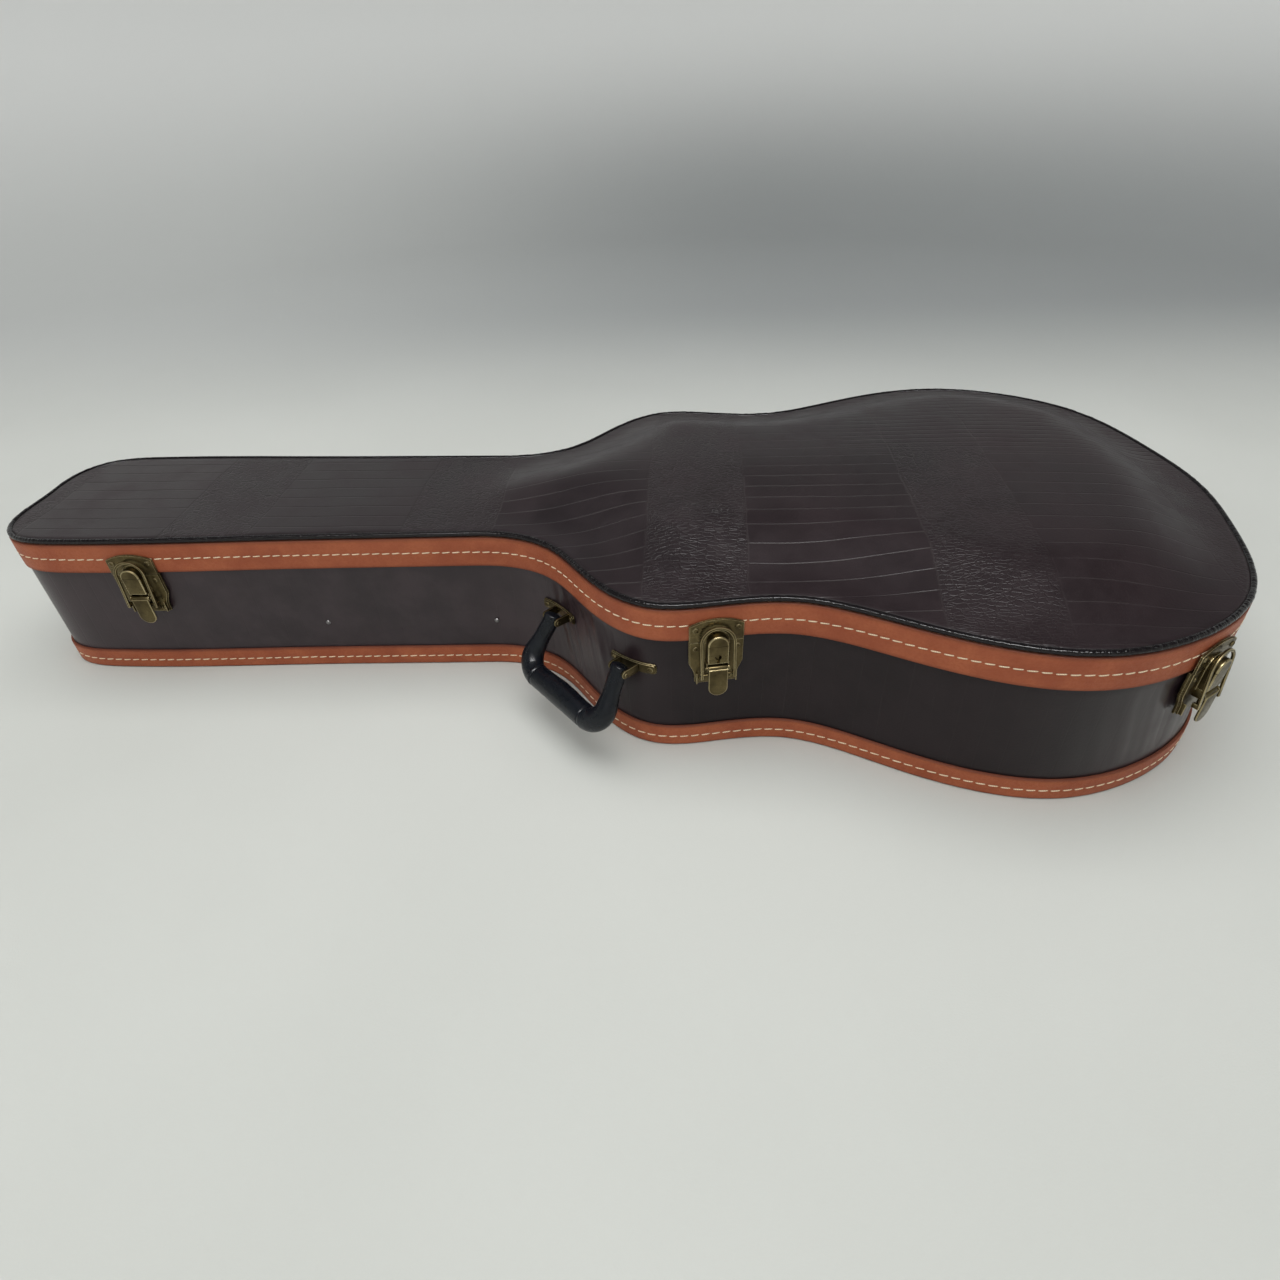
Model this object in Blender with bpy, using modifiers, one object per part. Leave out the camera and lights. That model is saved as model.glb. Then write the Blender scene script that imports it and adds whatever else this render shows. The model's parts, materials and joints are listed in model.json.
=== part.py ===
"""Hard guitar case with a domed lid, lying flat on its base.

The frame's origin is on the underside of the base, on the centreline, halfway along.
+X runs to the tail end, -Y to the side with the latches and the handle, +Z up.
Lengths are in metres. "Offset" is a distance outwards from the vinyl face of the side walls.
"""
import math

import bmesh
import bpy
import numpy as np
from mathutils import Matrix, Vector

# ---------------------------------------------------------------- driving dimensions
GAP = 0.0003                  # between touching pieces

# Half of the plan outline, head end to tail end, as (x, half width).
HALF_OUTLINE = (
    (-0.5425, 0.000),         # head end, on the centreline
    (-0.5400, 0.051),
    (-0.5280, 0.071),         # head corner
    (-0.4700, 0.086),         # head, at its widest
    (-0.2930, 0.082),
    (-0.1120, 0.0775),        # neck, at its narrowest
    (-0.0730, 0.079),
    (-0.0340, 0.095),
    (0.0100, 0.147),          # shoulder
    (0.0590, 0.185),          # upper bout
    (0.1120, 0.1825),
    (0.1710, 0.178),          # waist
    (0.2350, 0.202),
    (0.3030, 0.232),
    (0.3710, 0.242),          # lower bout
    (0.4300, 0.226),
    (0.4970, 0.172),
    (0.5310, 0.081),
    (0.5425, 0.000),          # tail end, on the centreline
)
HALF_SAMPLES = 46             # steps along one half of the outline

PARTING = 0.111               # height where the lid meets the base
SEAM = GAP / 2                # each half stops this far from the parting plane
BASE_BAND_TOP = 0.021
LID_BAND_TOP = 0.140
LID_EDGE_TOP = 0.1447         # flat margin of the lid, inside the piping

PANEL_THICK = 0.006
PLY = 0.005
SKIN = 0.001
BAND = 0.002
BAND_OUT = GAP + BAND         # the bands' outer face
PIPING_R = 0.0025
LINING_BACK = -(SKIN + PLY + 3 * GAP)    # face of the padding against the plywood
LINING_FRONT = LINING_BACK - 0.006
CAVITY = LINING_FRONT - 0.0006

DOME_RISE = 0.021
DOME_CROWN = 0.006            # extra height towards the middle of the body
DOME_MARGIN = 0.012           # flat border around the dome
DOME_SHOULDER = 0.078         # width over which the dome rises
DOME_START = -0.135           # where the dome begins on the neck
DOME_RAMP = 0.150
PANEL_GRID = 0.036            # facets of the domed panel
LID_LINING_DROP = 0.0090      # from the lid's outer face to its padding
LID_LINING_THICK = 0.008

FLOOR_LINING_TOP = 0.016
BASE_LINING_TOP = PARTING + 0.0065       # the padding stands up into the lid as a dust lip
LID_LINING_LOW = PARTING + 0.008
LID_LINING_HIGH = 0.1335

# Latches: distances in a latch's own frame, where z is measured from the parting plane
# and y is minus the distance out from the wall.
LATCH_X = {"head": -0.412, "waist": 0.110, "tail": 0.457}
LATCH_WIDTH = 0.042
LATCH_FACE = 0.0050           # front of the two plates
LATCH_STAND_OFF = 0.0010      # room behind a flat plate where the wall curves in
LATCH_BODY_WIDTH = 0.018
LATCH_BODY_FACE = 0.0123
LEVER_AXIS = (-0.0113, -0.0215)          # (y, z) of the lever's pin
BAIL_AXIS = (-0.0113, -0.0280)           # (y, z) of the bail's stubs, carried by the lever
BAIL_HALF = 0.0133            # half the bail's outer width
BAIL_WALL = 0.0022
BAIL_TOP = 0.0150
BAIL_Y = (-0.0153, -0.0127)
TAB_HALF = 0.0077
TAB_END = -0.0490
PIN_R = 0.00115
PIN_HOLE_R = 0.0014

# Lid hinges on the far side, on one line.
HINGE_SPANS = {"head": (-0.54, -0.30), "upper": (-0.05, 0.17), "lower": (0.20, 0.50)}
HINGE_REACH = 0.0082          # axis to wall at the nearest hinge
HINGE_HALF = 0.018
KNUCKLE_R = 0.0036
KNUCKLE_HALF = 0.0060

# Handle: along the straight line between its two brackets.
HANDLE_ENDS = (-0.0200, 0.0434)          # x of the two arms where they meet the wall line
HANDLE_AXIS_OUT = 0.0130      # axis to the bracket line
HANDLE_AXIS_Z = 0.081
HANDLE_DROP = 0.0506          # axis to the middle of the grip
HANDLE_LEAN = math.radians(34)           # from straight down, at its stop
HANDLE_SPLAY = 0.0050         # how much further apart the elbows are than the arms
HANDLE_CORNER = 0.016
ARM_R = 0.0072
GRIP_R = 0.0098
HANDLE_PIN_R = 0.0016
BRACKET_LENGTH = 0.043
BRACKET_HEIGHT = 0.0095
BRACKET_SHIFT = {"left": -0.0007, "right": 0.0024}   # middle of the plate from the arm, in x
EAR_THICK = 0.0018
EAR_REACH = 0.0175

# Accessory compartment under the neck.
COMPARTMENT_X = (-0.253, -0.091)         # middle of its two end boards
COMPARTMENT_TOP = 0.080
NAIL_Z = 0.050
BOARD = 0.005
COMPARTMENT_LID = 0.006
COMPARTMENT_HINGE_HALF = 0.060
CRADLE_X = (-0.330, -0.300)
CRADLE_TOP = 0.096
CRADLE_NOTCH_R = 0.030

VINYL = ("dark_brown_vinyl", (0.040, 0.031, 0.033), 0.32, 0.0)
BEAD = ("black_piping", (0.012, 0.010, 0.012), 0.20, 0.0)
LEATHER = ("tan_leather", (0.305, 0.080, 0.038), 0.50, 0.0)
WOOD = ("plywood", (0.420, 0.270, 0.140), 0.70, 0.0)
PLUSH = ("gold_plush", (0.330, 0.190, 0.070), 0.95, 0.0)
BRASS = ("antique_brass", (0.300, 0.225, 0.095), 0.38, 1.0)
STEEL = ("dull_steel", (0.350, 0.340, 0.330), 0.40, 1.0)
PLASTIC = ("black_plastic", (0.010, 0.012, 0.017), 0.28, 0.0)


# ---------------------------------------------------------------- scene set-up
def clear_scene():
    for old in list(bpy.data.objects):
        bpy.data.objects.remove(old, do_unlink=True)


def collection(name):
    made = bpy.data.collections.new(name)
    bpy.context.scene.collection.children.link(made)
    return made


clear_scene()
PARTS = collection("guitar_case")
CUTTERS = collection("cutters")
MATERIALS = {}


def material(spec):
    name, colour, roughness, metallic = spec
    if name not in MATERIALS:
        made = bpy.data.materials.new(name)
        made.use_nodes = True
        shader = made.node_tree.nodes["Principled BSDF"]
        shader.inputs["Base Color"].default_value = (*colour, 1.0)
        shader.inputs["Roughness"].default_value = roughness
        shader.inputs["Metallic"].default_value = metallic
        made.diffuse_color = (*colour, 1.0)
        MATERIALS[name] = made
    return MATERIALS[name]


def empty(name, matrix):
    made = bpy.data.objects.new(name, None)
    made.empty_display_size = 0.02
    made.matrix_world = matrix
    PARTS.objects.link(made)
    return made


def part(name, mesh, finish, location=(0, 0, 0), parent=None, smooth=False):
    """A finished sub-part, placed by its location in its parent's frame."""
    mesh.name = name
    made = bpy.data.objects.new(name, mesh)
    made.location = location
    made.parent = parent
    mesh.materials.clear()
    mesh.materials.append(material(finish))
    PARTS.objects.link(made)
    if smooth:
        mesh.shade_smooth()
        mesh.set_sharp_from_angle(angle=math.radians(35))
    return made


def tool_object(mesh, like):
    """A cutter or joining solid, in the same frame as the part it works on."""
    made = bpy.data.objects.new(like.name + "_tool", mesh)
    made.location = like.location
    made.rotation_euler = like.rotation_euler
    made.parent = like.parent
    made.hide_render = True
    made.display_type = "WIRE"
    CUTTERS.objects.link(made)
    return made


def boolean(target, mesh, operation):
    modifier = target.modifiers.new(operation.lower(), "BOOLEAN")
    modifier.operation = operation
    modifier.solver = "EXACT"
    modifier.object = tool_object(mesh, target)


def join(target, *meshes):
    for mesh in meshes:
        boolean(target, mesh, "UNION")


def cut(target, *meshes):
    for mesh in meshes:
        boolean(target, mesh, "DIFFERENCE")


# ---------------------------------------------------------------- basic solids
def mesh_from(bm, name="solid"):
    mesh = bpy.data.meshes.new(name)
    bm.to_mesh(mesh)
    bm.free()
    return mesh


def block(low, high):
    """A box between two corners."""
    bm = bmesh.new()
    bmesh.ops.create_cube(bm, size=1.0)
    low, high = Vector(low), Vector(high)
    size = high - low
    bmesh.ops.scale(bm, vec=size, verts=bm.verts)
    bmesh.ops.translate(bm, vec=(low + high) / 2, verts=bm.verts)
    return mesh_from(bm)


TO_X = Matrix.Rotation(math.radians(90), 4, "Y")
TO_Y = Matrix.Rotation(math.radians(90), 4, "X")


def rod(radius, ends, centre=(0, 0), along="X", sides=12):
    """A round bar along X (centre is y, z), Y (centre is x, z) or Z (centre is x, y)."""
    bm = bmesh.new()
    bmesh.ops.create_cone(bm, cap_ends=True, segments=sides, radius1=radius, radius2=radius,
                          depth=ends[1] - ends[0])
    middle = (ends[0] + ends[1]) / 2
    if along == "X":
        turn, place = TO_X, (middle, centre[0], centre[1])
    elif along == "Y":
        turn, place = TO_Y, (centre[0], middle, centre[1])
    else:
        turn, place = Matrix(), (centre[0], centre[1], middle)
    mesh = mesh_from(bm)
    mesh.transform(Matrix.Translation(place) @ turn)
    return mesh


def mesh_of_curve(curve):
    """The curve as a closed mesh, with its caps welded to its sides."""
    holder = bpy.data.objects.new("curve", curve)
    bpy.context.scene.collection.objects.link(holder)
    bpy.context.view_layer.update()
    evaluated = holder.evaluated_get(bpy.context.evaluated_depsgraph_get())
    mesh = bpy.data.meshes.new_from_object(evaluated)
    bpy.data.objects.remove(holder)
    bpy.data.curves.remove(curve)
    bm = bmesh.new()
    bm.from_mesh(mesh)
    bmesh.ops.remove_doubles(bm, verts=bm.verts, dist=1e-6)
    bmesh.ops.recalc_face_normals(bm, faces=bm.faces)
    bm.to_mesh(mesh)
    bm.free()
    return mesh


def add_polyline(curve, points, closed):
    spline = curve.splines.new("POLY")
    spline.points.add(len(points) - 1)
    for point, values in zip(spline.points, points):
        x, y, z, radius = (tuple(values) + (0.0, 1.0))[:4] if len(values) == 2 else values
        point.co = (x, y, z, 1.0)
        point.radius = radius
    spline.use_cyclic_u = closed


def slab(loops, low, high):
    """Flat outlines (the later ones are holes), extruded in Z from low to high."""
    curve = bpy.data.curves.new("outline", "CURVE")
    curve.dimensions = "2D"
    curve.fill_mode = "BOTH"
    curve.extrude = (high - low) / 2
    for loop in loops:
        add_polyline(curve, [tuple(point) for point in loop], True)
    mesh = mesh_of_curve(curve)
    mesh.transform(Matrix.Translation((0, 0, (low + high) / 2)))
    return mesh


def plate_xz(loops, y_low, y_high):
    """Flat outlines drawn in x and z, with their thickness along Y."""
    mesh = slab(loops, -y_high, -y_low)
    mesh.transform(TO_Y)
    return mesh


def plate_yz(loops, x_low, x_high):
    """Flat outlines drawn in y and z, with their thickness along X."""
    mesh = slab(loops, x_low, x_high)
    mesh.transform(Matrix(((0, 0, 1, 0), (1, 0, 0, 0), (0, 1, 0, 0), (0, 0, 0, 1))))
    return mesh


def tube(points, radius, closed=False, resolution=1):
    """A round tube along points given as (x, y, z) or (x, y, z, local radius)."""
    curve = bpy.data.curves.new("tube", "CURVE")
    curve.dimensions = "3D"
    curve.bevel_depth = radius
    curve.bevel_resolution = resolution
    curve.use_fill_caps = not closed
    rows = [tuple(point) if len(point) == 4 else (*point, 1.0) for point in points]
    add_polyline(curve, rows, closed)
    return mesh_of_curve(curve)


def arc(centre, radius, start, end, steps):
    """Points along an arc, angles in degrees."""
    turns = [math.radians(start + (end - start) * i / steps) for i in range(steps + 1)]
    return [(centre[0] + radius * math.cos(a), centre[1] + radius * math.sin(a)) for a in turns]


def domed_head(radius, height, sides=10):
    """A rivet or nail head on the plane z = 0: a low dome turned about Z."""
    bm = bmesh.new()
    bmesh.ops.create_cone(bm, cap_ends=True, segments=sides, radius1=radius, radius2=radius * 0.55,
                          depth=height)
    bmesh.ops.translate(bm, vec=(0, 0, height / 2), verts=bm.verts)
    return mesh_from(bm)


def head_facing(radius, height, spot):
    """A head at (x, y, z) that faces -Y."""
    mesh = domed_head(radius, height)
    mesh.transform(Matrix.Translation(spot) @ TO_Y)
    return mesh


# ---------------------------------------------------------------- the plan outline
def closed_spline(knots, steps):
    """A smooth closed cubic curve through the knots, with its direction at each step."""
    knots = np.array(knots)
    count = len(knots)
    after = np.roll(knots, -1, axis=0)
    span = np.linalg.norm(after - knots, axis=1)
    back = np.roll(span, 1)
    system = np.zeros((count, count))
    for i in range(count):
        system[i, i - 1] += 1 / back[i]
        system[i, i] += 2 / back[i] + 2 / span[i]
        system[i, (i + 1) % count] += 1 / span[i]
    rise = (after - knots) / (span ** 2)[:, None]
    slopes = np.linalg.solve(system, 3 * (rise + np.roll(rise, 1, axis=0)))
    after_slopes = np.roll(slopes, -1, axis=0)
    points, tangents = [], []
    for i in range(count):
        t = (np.arange(steps) / steps)[:, None]
        h = span[i]
        points.append((1 + 2 * t) * (1 - t) ** 2 * knots[i] + t * (1 - t) ** 2 * h * slopes[i]
                      + t * t * (3 - 2 * t) * after[i] - t * t * (1 - t) * h * after_slopes[i])
        tangents.append(6 * t * (t - 1) * (knots[i] - after[i]) / h
                        + (1 - 4 * t + 3 * t * t) * slopes[i] + (3 * t * t - 2 * t) * after_slopes[i])
    return np.vstack(points), np.vstack(tangents)


def half_outline():
    """The near half of the outline, head to tail, with more steps where it bends harder."""
    near = [(x, -y) for x, y in HALF_OUTLINE]
    far = [(x, y) for x, y in HALF_OUTLINE[-2:0:-1]]
    fine, direction = closed_spline(near + far, 60)
    count = 60 * (len(HALF_OUTLINE) - 1) + 1
    fine, direction = fine[:count], direction[:count]
    direction /= np.linalg.norm(direction, axis=1)[:, None]
    step = np.linalg.norm(np.diff(fine, axis=0), axis=1)
    turn = np.linalg.norm(np.diff(direction, axis=0), axis=1)
    weight = np.r_[0, np.cumsum(step + 0.11 * np.sqrt(turn * step))]
    wanted = np.linspace(0, weight[-1], HALF_SAMPLES + 1)
    points = np.column_stack([np.interp(wanted, weight, fine[:, k]) for k in (0, 1)])
    headings = np.column_stack([np.interp(wanted, weight, direction[:, k]) for k in (0, 1)])
    headings /= np.linalg.norm(headings, axis=1)[:, None]
    points[[0, -1], 1] = 0
    headings[0], headings[-1] = (0, -1), (0, 1)
    return points, headings, fine, direction


HALF_POINTS, HALF_HEADINGS, FINE, FINE_HEADINGS = half_outline()


def half_loop(offset):
    """The near half of the outline, moved outwards by offset."""
    outward = np.column_stack([HALF_HEADINGS[:, 1], -HALF_HEADINGS[:, 0]])
    return HALF_POINTS + outward * offset


def loop(offset):
    """The whole outline, moved outwards by offset."""
    near = half_loop(offset)
    return np.vstack([near, near[-2:0:-1] * (1, -1)])


def ring(outer, inner, low, high):
    """A wall that follows the whole outline."""
    return slab([loop(outer), loop(inner)], low, high)


def half_ring(outer, inner, low, high, side):
    """One bent half of a wall: side is -1 for the near half and 1 for the far half."""
    rows = [half_loop(outer), half_loop(inner)]
    for row in rows:
        row[[0, -1], 1] = -GAP / 2
    closed = np.vstack([rows[0], rows[1][::-1]])
    return slab([closed * (1, -side)], low, high)


def wall_at(x):
    """The near wall's face at x: its point, and the angle of its tangent."""
    y = np.interp(x, HALF_POINTS[:, 0], HALF_POINTS[:, 1])
    dx = np.interp(x, FINE[:, 0], FINE_HEADINGS[:, 0])
    dy = np.interp(x, FINE[:, 0], FINE_HEADINGS[:, 1])
    return Vector((x, y, 0)), math.atan2(dy, dx)


def wall_strip(x_low, x_high, inner, outer, low, high):
    """A strip of plate bent to the near wall, between two places along it."""
    steps = np.arange(HALF_SAMPLES + 1.0)
    ends = np.interp((x_low, x_high), HALF_POINTS[:, 0], steps)
    places = np.r_[ends[0], steps[(steps > ends[0]) & (steps < ends[1])], ends[1]]
    rows = []
    for offset in (outer, inner):
        wall = half_loop(offset)
        rows.append(np.column_stack([np.interp(places, steps, wall[:, k]) for k in (0, 1)]))
    return slab([np.vstack([rows[0], rows[1][::-1]])], low, high)


# ---------------------------------------------------------------- the domed lid panel
OUTLINE = np.vstack([FINE, FINE[::-1] * (1, -1)])


def ease(t):
    t = min(max(t, 0.0), 1.0)
    return t * t * (3 - 2 * t)


def lid_height(x, y):
    """Height of the lid's outer face: a flat margin and neck, and a dome over the body."""
    inset = np.min(np.hypot(OUTLINE[:, 0] - x, OUTLINE[:, 1] - y))
    along = ease((x - DOME_START) / DOME_RAMP)
    rise = DOME_RISE * ease((inset - DOME_MARGIN) / DOME_SHOULDER)
    crown = DOME_CROWN * ease(inset / 0.2)
    return LID_EDGE_TOP + along * (rise + crown)


def domed_sheet(offset, drop):
    """The outline filled, sliced into a grid and raised to the lid's shape less a drop."""
    bm = bmesh.new()
    corners = [bm.verts.new((x, y, 0)) for x, y in loop(offset)]
    bm.faces.new(corners)
    cuts = [((i * PANEL_GRID, 0, 0), (1, 0, 0)) for i in range(-15, 16)]
    cuts += [((0, i * PANEL_GRID, 0), (0, 1, 0)) for i in range(-7, 8)]
    for place, direction in cuts:
        everything = bm.verts[:] + bm.edges[:] + bm.faces[:]
        bmesh.ops.bisect_plane(bm, geom=everything, dist=1e-4, plane_co=place, plane_no=direction)
    for vert in bm.verts:
        vert.co.z = lid_height(vert.co.x, vert.co.y) - drop
    bmesh.ops.triangulate(bm, faces=bm.faces)
    bmesh.ops.recalc_face_normals(bm, faces=bm.faces)
    if sum(face.normal.z for face in bm.faces) < 0:
        bmesh.ops.reverse_faces(bm, faces=bm.faces)
    return mesh_from(bm)


def thicken(target, thickness):
    """Solidify downwards from an upward-facing sheet."""
    modifier = target.modifiers.new("thickness", "SOLIDIFY")
    modifier.thickness = thickness
    modifier.offset = -1.0


# ---------------------------------------------------------------- base
def build_base():
    part("base_panel", slab([loop(-SKIN - GAP)], 0, PANEL_THICK), VINYL)
    for name, side in (("near", -1), ("far", 1)):
        wall = half_ring(-SKIN - GAP, -SKIN - GAP - PLY, PANEL_THICK + GAP, PARTING - SEAM, side)
        part("base_side_" + name, wall, WOOD)
    part("base_covering", ring(0, -SKIN, 0.001, PARTING - SEAM), VINYL)
    part("base_trim_band", ring(BAND_OUT, GAP, 0.0005, BASE_BAND_TOP), LEATHER)
    floor = slab([loop(CAVITY)], PANEL_THICK + GAP, FLOOR_LINING_TOP)
    part("base_lining_floor", floor, PLUSH)
    walls = ring(LINING_BACK, LINING_FRONT, PANEL_THICK + GAP, BASE_LINING_TOP)
    part("base_lining_side", walls, PLUSH)


# ---------------------------------------------------------------- lid
def build_lid():
    top = part("lid_top_panel", domed_sheet(-PIPING_R - 0.0012, 0), VINYL, smooth=True)
    thicken(top, PLY)
    low = PARTING + SEAM
    for name, side in (("near", -1), ("far", 1)):
        wall = half_ring(-SKIN, -SKIN - PLY, low, LID_EDGE_TOP - PLY - 0.0006, side)
        part("lid_side_" + name, wall, WOOD)
    part("lid_trim_band", ring(BAND_OUT, GAP, low, LID_BAND_TOP), LEATHER)
    centre = LID_BAND_TOP + GAP + PIPING_R
    piping = [(x, y, centre) for x, y in loop(-0.0004)]
    part("lid_edge_piping", tube(piping, PIPING_R, closed=True), BEAD, smooth=True)
    lining = part("lid_lining_top", domed_sheet(CAVITY, LID_LINING_DROP), PLUSH)
    thicken(lining, LID_LINING_THICK)
    walls = ring(LINING_BACK, LINING_FRONT, LID_LINING_LOW, LID_LINING_HIGH)
    part("lid_lining_side", walls, PLUSH)


# ---------------------------------------------------------------- accessory compartment
def inner_half_width(x):
    """Half of the clear width between the padded walls at x."""
    return -np.interp(x, FINE[:, 0], FINE[:, 1]) + LINING_FRONT


def build_compartment():
    low = FLOOR_LINING_TOP + GAP
    top = COMPARTMENT_TOP
    for name, x in zip(("head", "body"), COMPARTMENT_X):
        half = inner_half_width(x) - 0.0015
        board = block((x - BOARD / 2, -half, low), (x + BOARD / 2, half, top))
        part("compartment_end_" + name, board, PLUSH)
    x_low = COMPARTMENT_X[0] + BOARD / 2 + GAP
    x_high = COMPARTMENT_X[1] - BOARD / 2 - GAP
    side_face = inner_half_width(x_high) - 0.0015
    for name, side in (("near", -1), ("far", 1)):
        ys = sorted((side * side_face, side * (side_face - BOARD)))
        part("compartment_rail_" + name, block((x_low, ys[0], low), (x_high, ys[1], top)), PLUSH)

    # The hinge axis lies along the top inner edge of the far rail.
    axis_y = side_face - BOARD - 0.0022
    axis_z = top + 0.0006
    hinges = empty("compartment_hinge_axis", Matrix.Translation((0, axis_y, axis_z)))
    board = block((x_low + 0.001, -side_face - axis_y + 0.001, 0.0022),
                  (x_high - 0.001, -GAP, 0.0022 + COMPARTMENT_LID))
    part("compartment_lid", board, PLUSH, parent=hinges)
    middle = (x_low + x_high) / 2
    end, knuckle = COMPARTMENT_HINGE_HALF, COMPARTMENT_HINGE_HALF / 3
    bore = rod(0.0009, (middle - end - 0.001, middle + end + 0.001), sides=8)
    leaf = part("compartment_hinge_leaf",
                block((middle - end, 0.0009, -0.016), (middle + end, 0.0019, -0.0021)), BRASS,
                parent=hinges)
    for span in ((middle - end, middle - knuckle - GAP), (middle + knuckle + GAP, middle + end)):
        join(leaf, rod(0.0017, span, sides=10),
             block((span[0], 0.0007, -0.0030), (span[1], 0.0017, -0.0002)))
    cut(leaf, bore)
    flap = part("compartment_hinge_flap",
                block((middle - knuckle, -0.020, 0.0007), (middle + knuckle, -0.0002, 0.0018)), BRASS,
                parent=hinges)
    join(flap, rod(0.0017, (middle - knuckle, middle + knuckle), sides=10))
    cut(flap, bore.copy())
    part("compartment_hinge_pin", rod(0.0006, (middle - end, middle + end), sides=8), BRASS,
         parent=hinges)
    pull_z = 0.0022 + COMPARTMENT_LID + GAP
    pull = block((middle - 0.009, -side_face - axis_y, pull_z),
                 (middle + 0.009, -side_face - axis_y + 0.034, pull_z + 0.0012))
    part("compartment_pull_tab", pull, LEATHER, parent=hinges)


def build_cradle():
    half = inner_half_width(CRADLE_X[0]) - 0.0015
    low = FLOOR_LINING_TOP + GAP
    notch = arc((0, CRADLE_TOP), CRADLE_NOTCH_R, 180, 360, 10)
    outline = [(-half, low), (half, low), (half, CRADLE_TOP)] + notch[::-1] + [(-half, CRADLE_TOP)]
    part("neck_cradle", plate_yz([outline], *CRADLE_X), PLUSH)


def build_nail_heads():
    """Nails through the near wall into the compartment's end boards."""
    for name, x in zip(("head", "body"), COMPARTMENT_X):
        spot, angle = wall_at(x)
        place = Matrix.Translation((spot.x, spot.y, NAIL_Z)) @ Matrix.Rotation(angle, 4, "Z")
        head = head_facing(0.0024, 0.0009, (0, -GAP, 0))
        head.transform(place)
        part("nail_" + name, head, STEEL)


# ---------------------------------------------------------------- latches
def latch_frame(x):
    spot, angle = wall_at(x)
    return Matrix.Translation((spot.x, spot.y, PARTING)) @ Matrix.Rotation(angle, 4, "Z")


def rivet_heads(spots):
    """Rivet heads on a latch's plate, in pairs either side of its middle."""
    return [head_facing(0.0021, 0.0012, (side * x, -LATCH_FACE + 0.0002, z))
            for x, z in spots for side in (-1, 1)]


def build_latch(name, x):
    """A draw latch: the bail goes round the boss on the lid, and the lever slackens it."""
    site = empty("latch_" + name, latch_frame(x))
    half = LATCH_WIDTH / 2
    body = LATCH_BODY_WIDTH / 2
    prefix = "latch_" + name + "_"

    # Keeper on the lid: an arched plate and a half-round boss.
    crest = [(half * (1 - i / 4), 0.0150 + 0.0050 * (1 - (1 - i / 4) ** 2)) for i in range(9)]
    outline = [(-half, 0.0008), (half, 0.0008)] + crest
    keeper = part(prefix + "keeper", plate_xz([outline], -LATCH_FACE, -BAND_OUT - LATCH_STAND_OFF), BRASS,
                  parent=site)
    join(keeper, *rivet_heads(((0.0165, 0.0118),)))
    boss = [(-body, 0.0008), (body, 0.0008)] + arc((0, 0.0012), body, 0, 180, 8)[1:-1]
    join(keeper, plate_xz([boss], -LATCH_BODY_FACE, -LATCH_FACE + 0.0008))

    # Plate on the base: full width, then tapered, with a housing and two ears for the pin.
    low, waist = -0.0420, 0.0165
    outline = [(-half, -0.0008), (-half, -0.0210), (-waist, -0.0290), (-waist, low),
               (waist, low), (waist, -0.0290), (half, -0.0210), (half, -0.0008)]
    plate = part(prefix + "plate", plate_xz([outline], -LATCH_FACE, -LATCH_STAND_OFF), BRASS, parent=site)
    join(plate, block((-body, -LATCH_BODY_FACE, -0.0178), (body, -LATCH_FACE + 0.0008, -0.0008)))
    join(plate, *rivet_heads(((0.0165, -0.0060), (0.0125, -0.0375))))
    axis_y, axis_z = LEVER_AXIS
    for side in (-1, 1):
        xs = sorted((side * 0.0078, side * body))
        ear = [(-LATCH_FACE + 0.0008, axis_z - 0.0030), (-LATCH_FACE + 0.0008, axis_z + 0.0045)]
        ear += [(axis_y, axis_z + 0.0045)] + arc((axis_y, axis_z), 0.0030, 90, 270, 6)
        join(plate, plate_yz([ear], *xs))
    cut(plate, rod(PIN_HOLE_R, (-0.012, 0.012), LEVER_AXIS))

    # The lever and its bail share the latch's frame, each with its origin on its own axis.
    lever_axis = (0, axis_y, axis_z)
    tab = [(TAB_HALF, 0.0005), (-TAB_HALF, 0.0005)]
    tab += arc((0, TAB_END - axis_z + TAB_HALF), TAB_HALF, 180, 360, 8)
    lever = part(prefix + "lever", plate_xz([tab], -0.0030, -0.0014), BRASS, lever_axis, site)
    reach = BAIL_AXIS[1] - axis_z
    join(lever, rod(0.0027, (-0.0074, 0.0074)),
         block((-0.0074, -0.0030, reach - 0.0022), (0.0074, 0.0020, 0)))
    cut(lever, rod(PIN_HOLE_R, (-0.012, 0.012)), rod(PIN_HOLE_R, (-0.012, 0.012), (0, reach)))

    # Bail: an arched strip with round stubs that turn in the lever.
    foot = -0.0020
    top = BAIL_TOP - BAIL_AXIS[1]
    outer, inner = BAIL_HALF, BAIL_HALF - BAIL_WALL
    rim = [(outer, foot)] + arc((0, top - outer), outer, 0, 180, 12) + [(-outer, foot)]
    rim += [(-inner, foot)] + arc((0, top - outer), inner, 180, 0, 12) + [(inner, foot)]
    front, back = BAIL_Y[0] - BAIL_AXIS[0], BAIL_Y[1] - BAIL_AXIS[0]
    bail = part(prefix + "bail", plate_xz([rim], front, back), BRASS, (0, *BAIL_AXIS), site)
    for side in (-1, 1):
        lug = sorted((side * inner, side * outer))
        join(bail, block((lug[0], front + 0.0002, foot), (lug[1], 0.0016, 0.0020)))
        join(bail, rod(PIN_R, sorted((side * 0.0040, side * (inner + 0.0005))), sides=10))
    part(prefix + "pin", rod(PIN_R, (-0.0096, 0.0096)), BRASS, lever_axis, site)
    return site


def cut_keyhole(plate):
    """A small keyhole in the waist latch's housing."""
    face = -LATCH_BODY_FACE
    cut(plate, rod(0.0014, (face - 0.001, face + 0.003), (0, -0.0125), along="Y", sides=10))
    cut(plate, block((-0.0007, face - 0.001, -0.0162), (0.0007, face + 0.003, -0.0125)))


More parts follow.
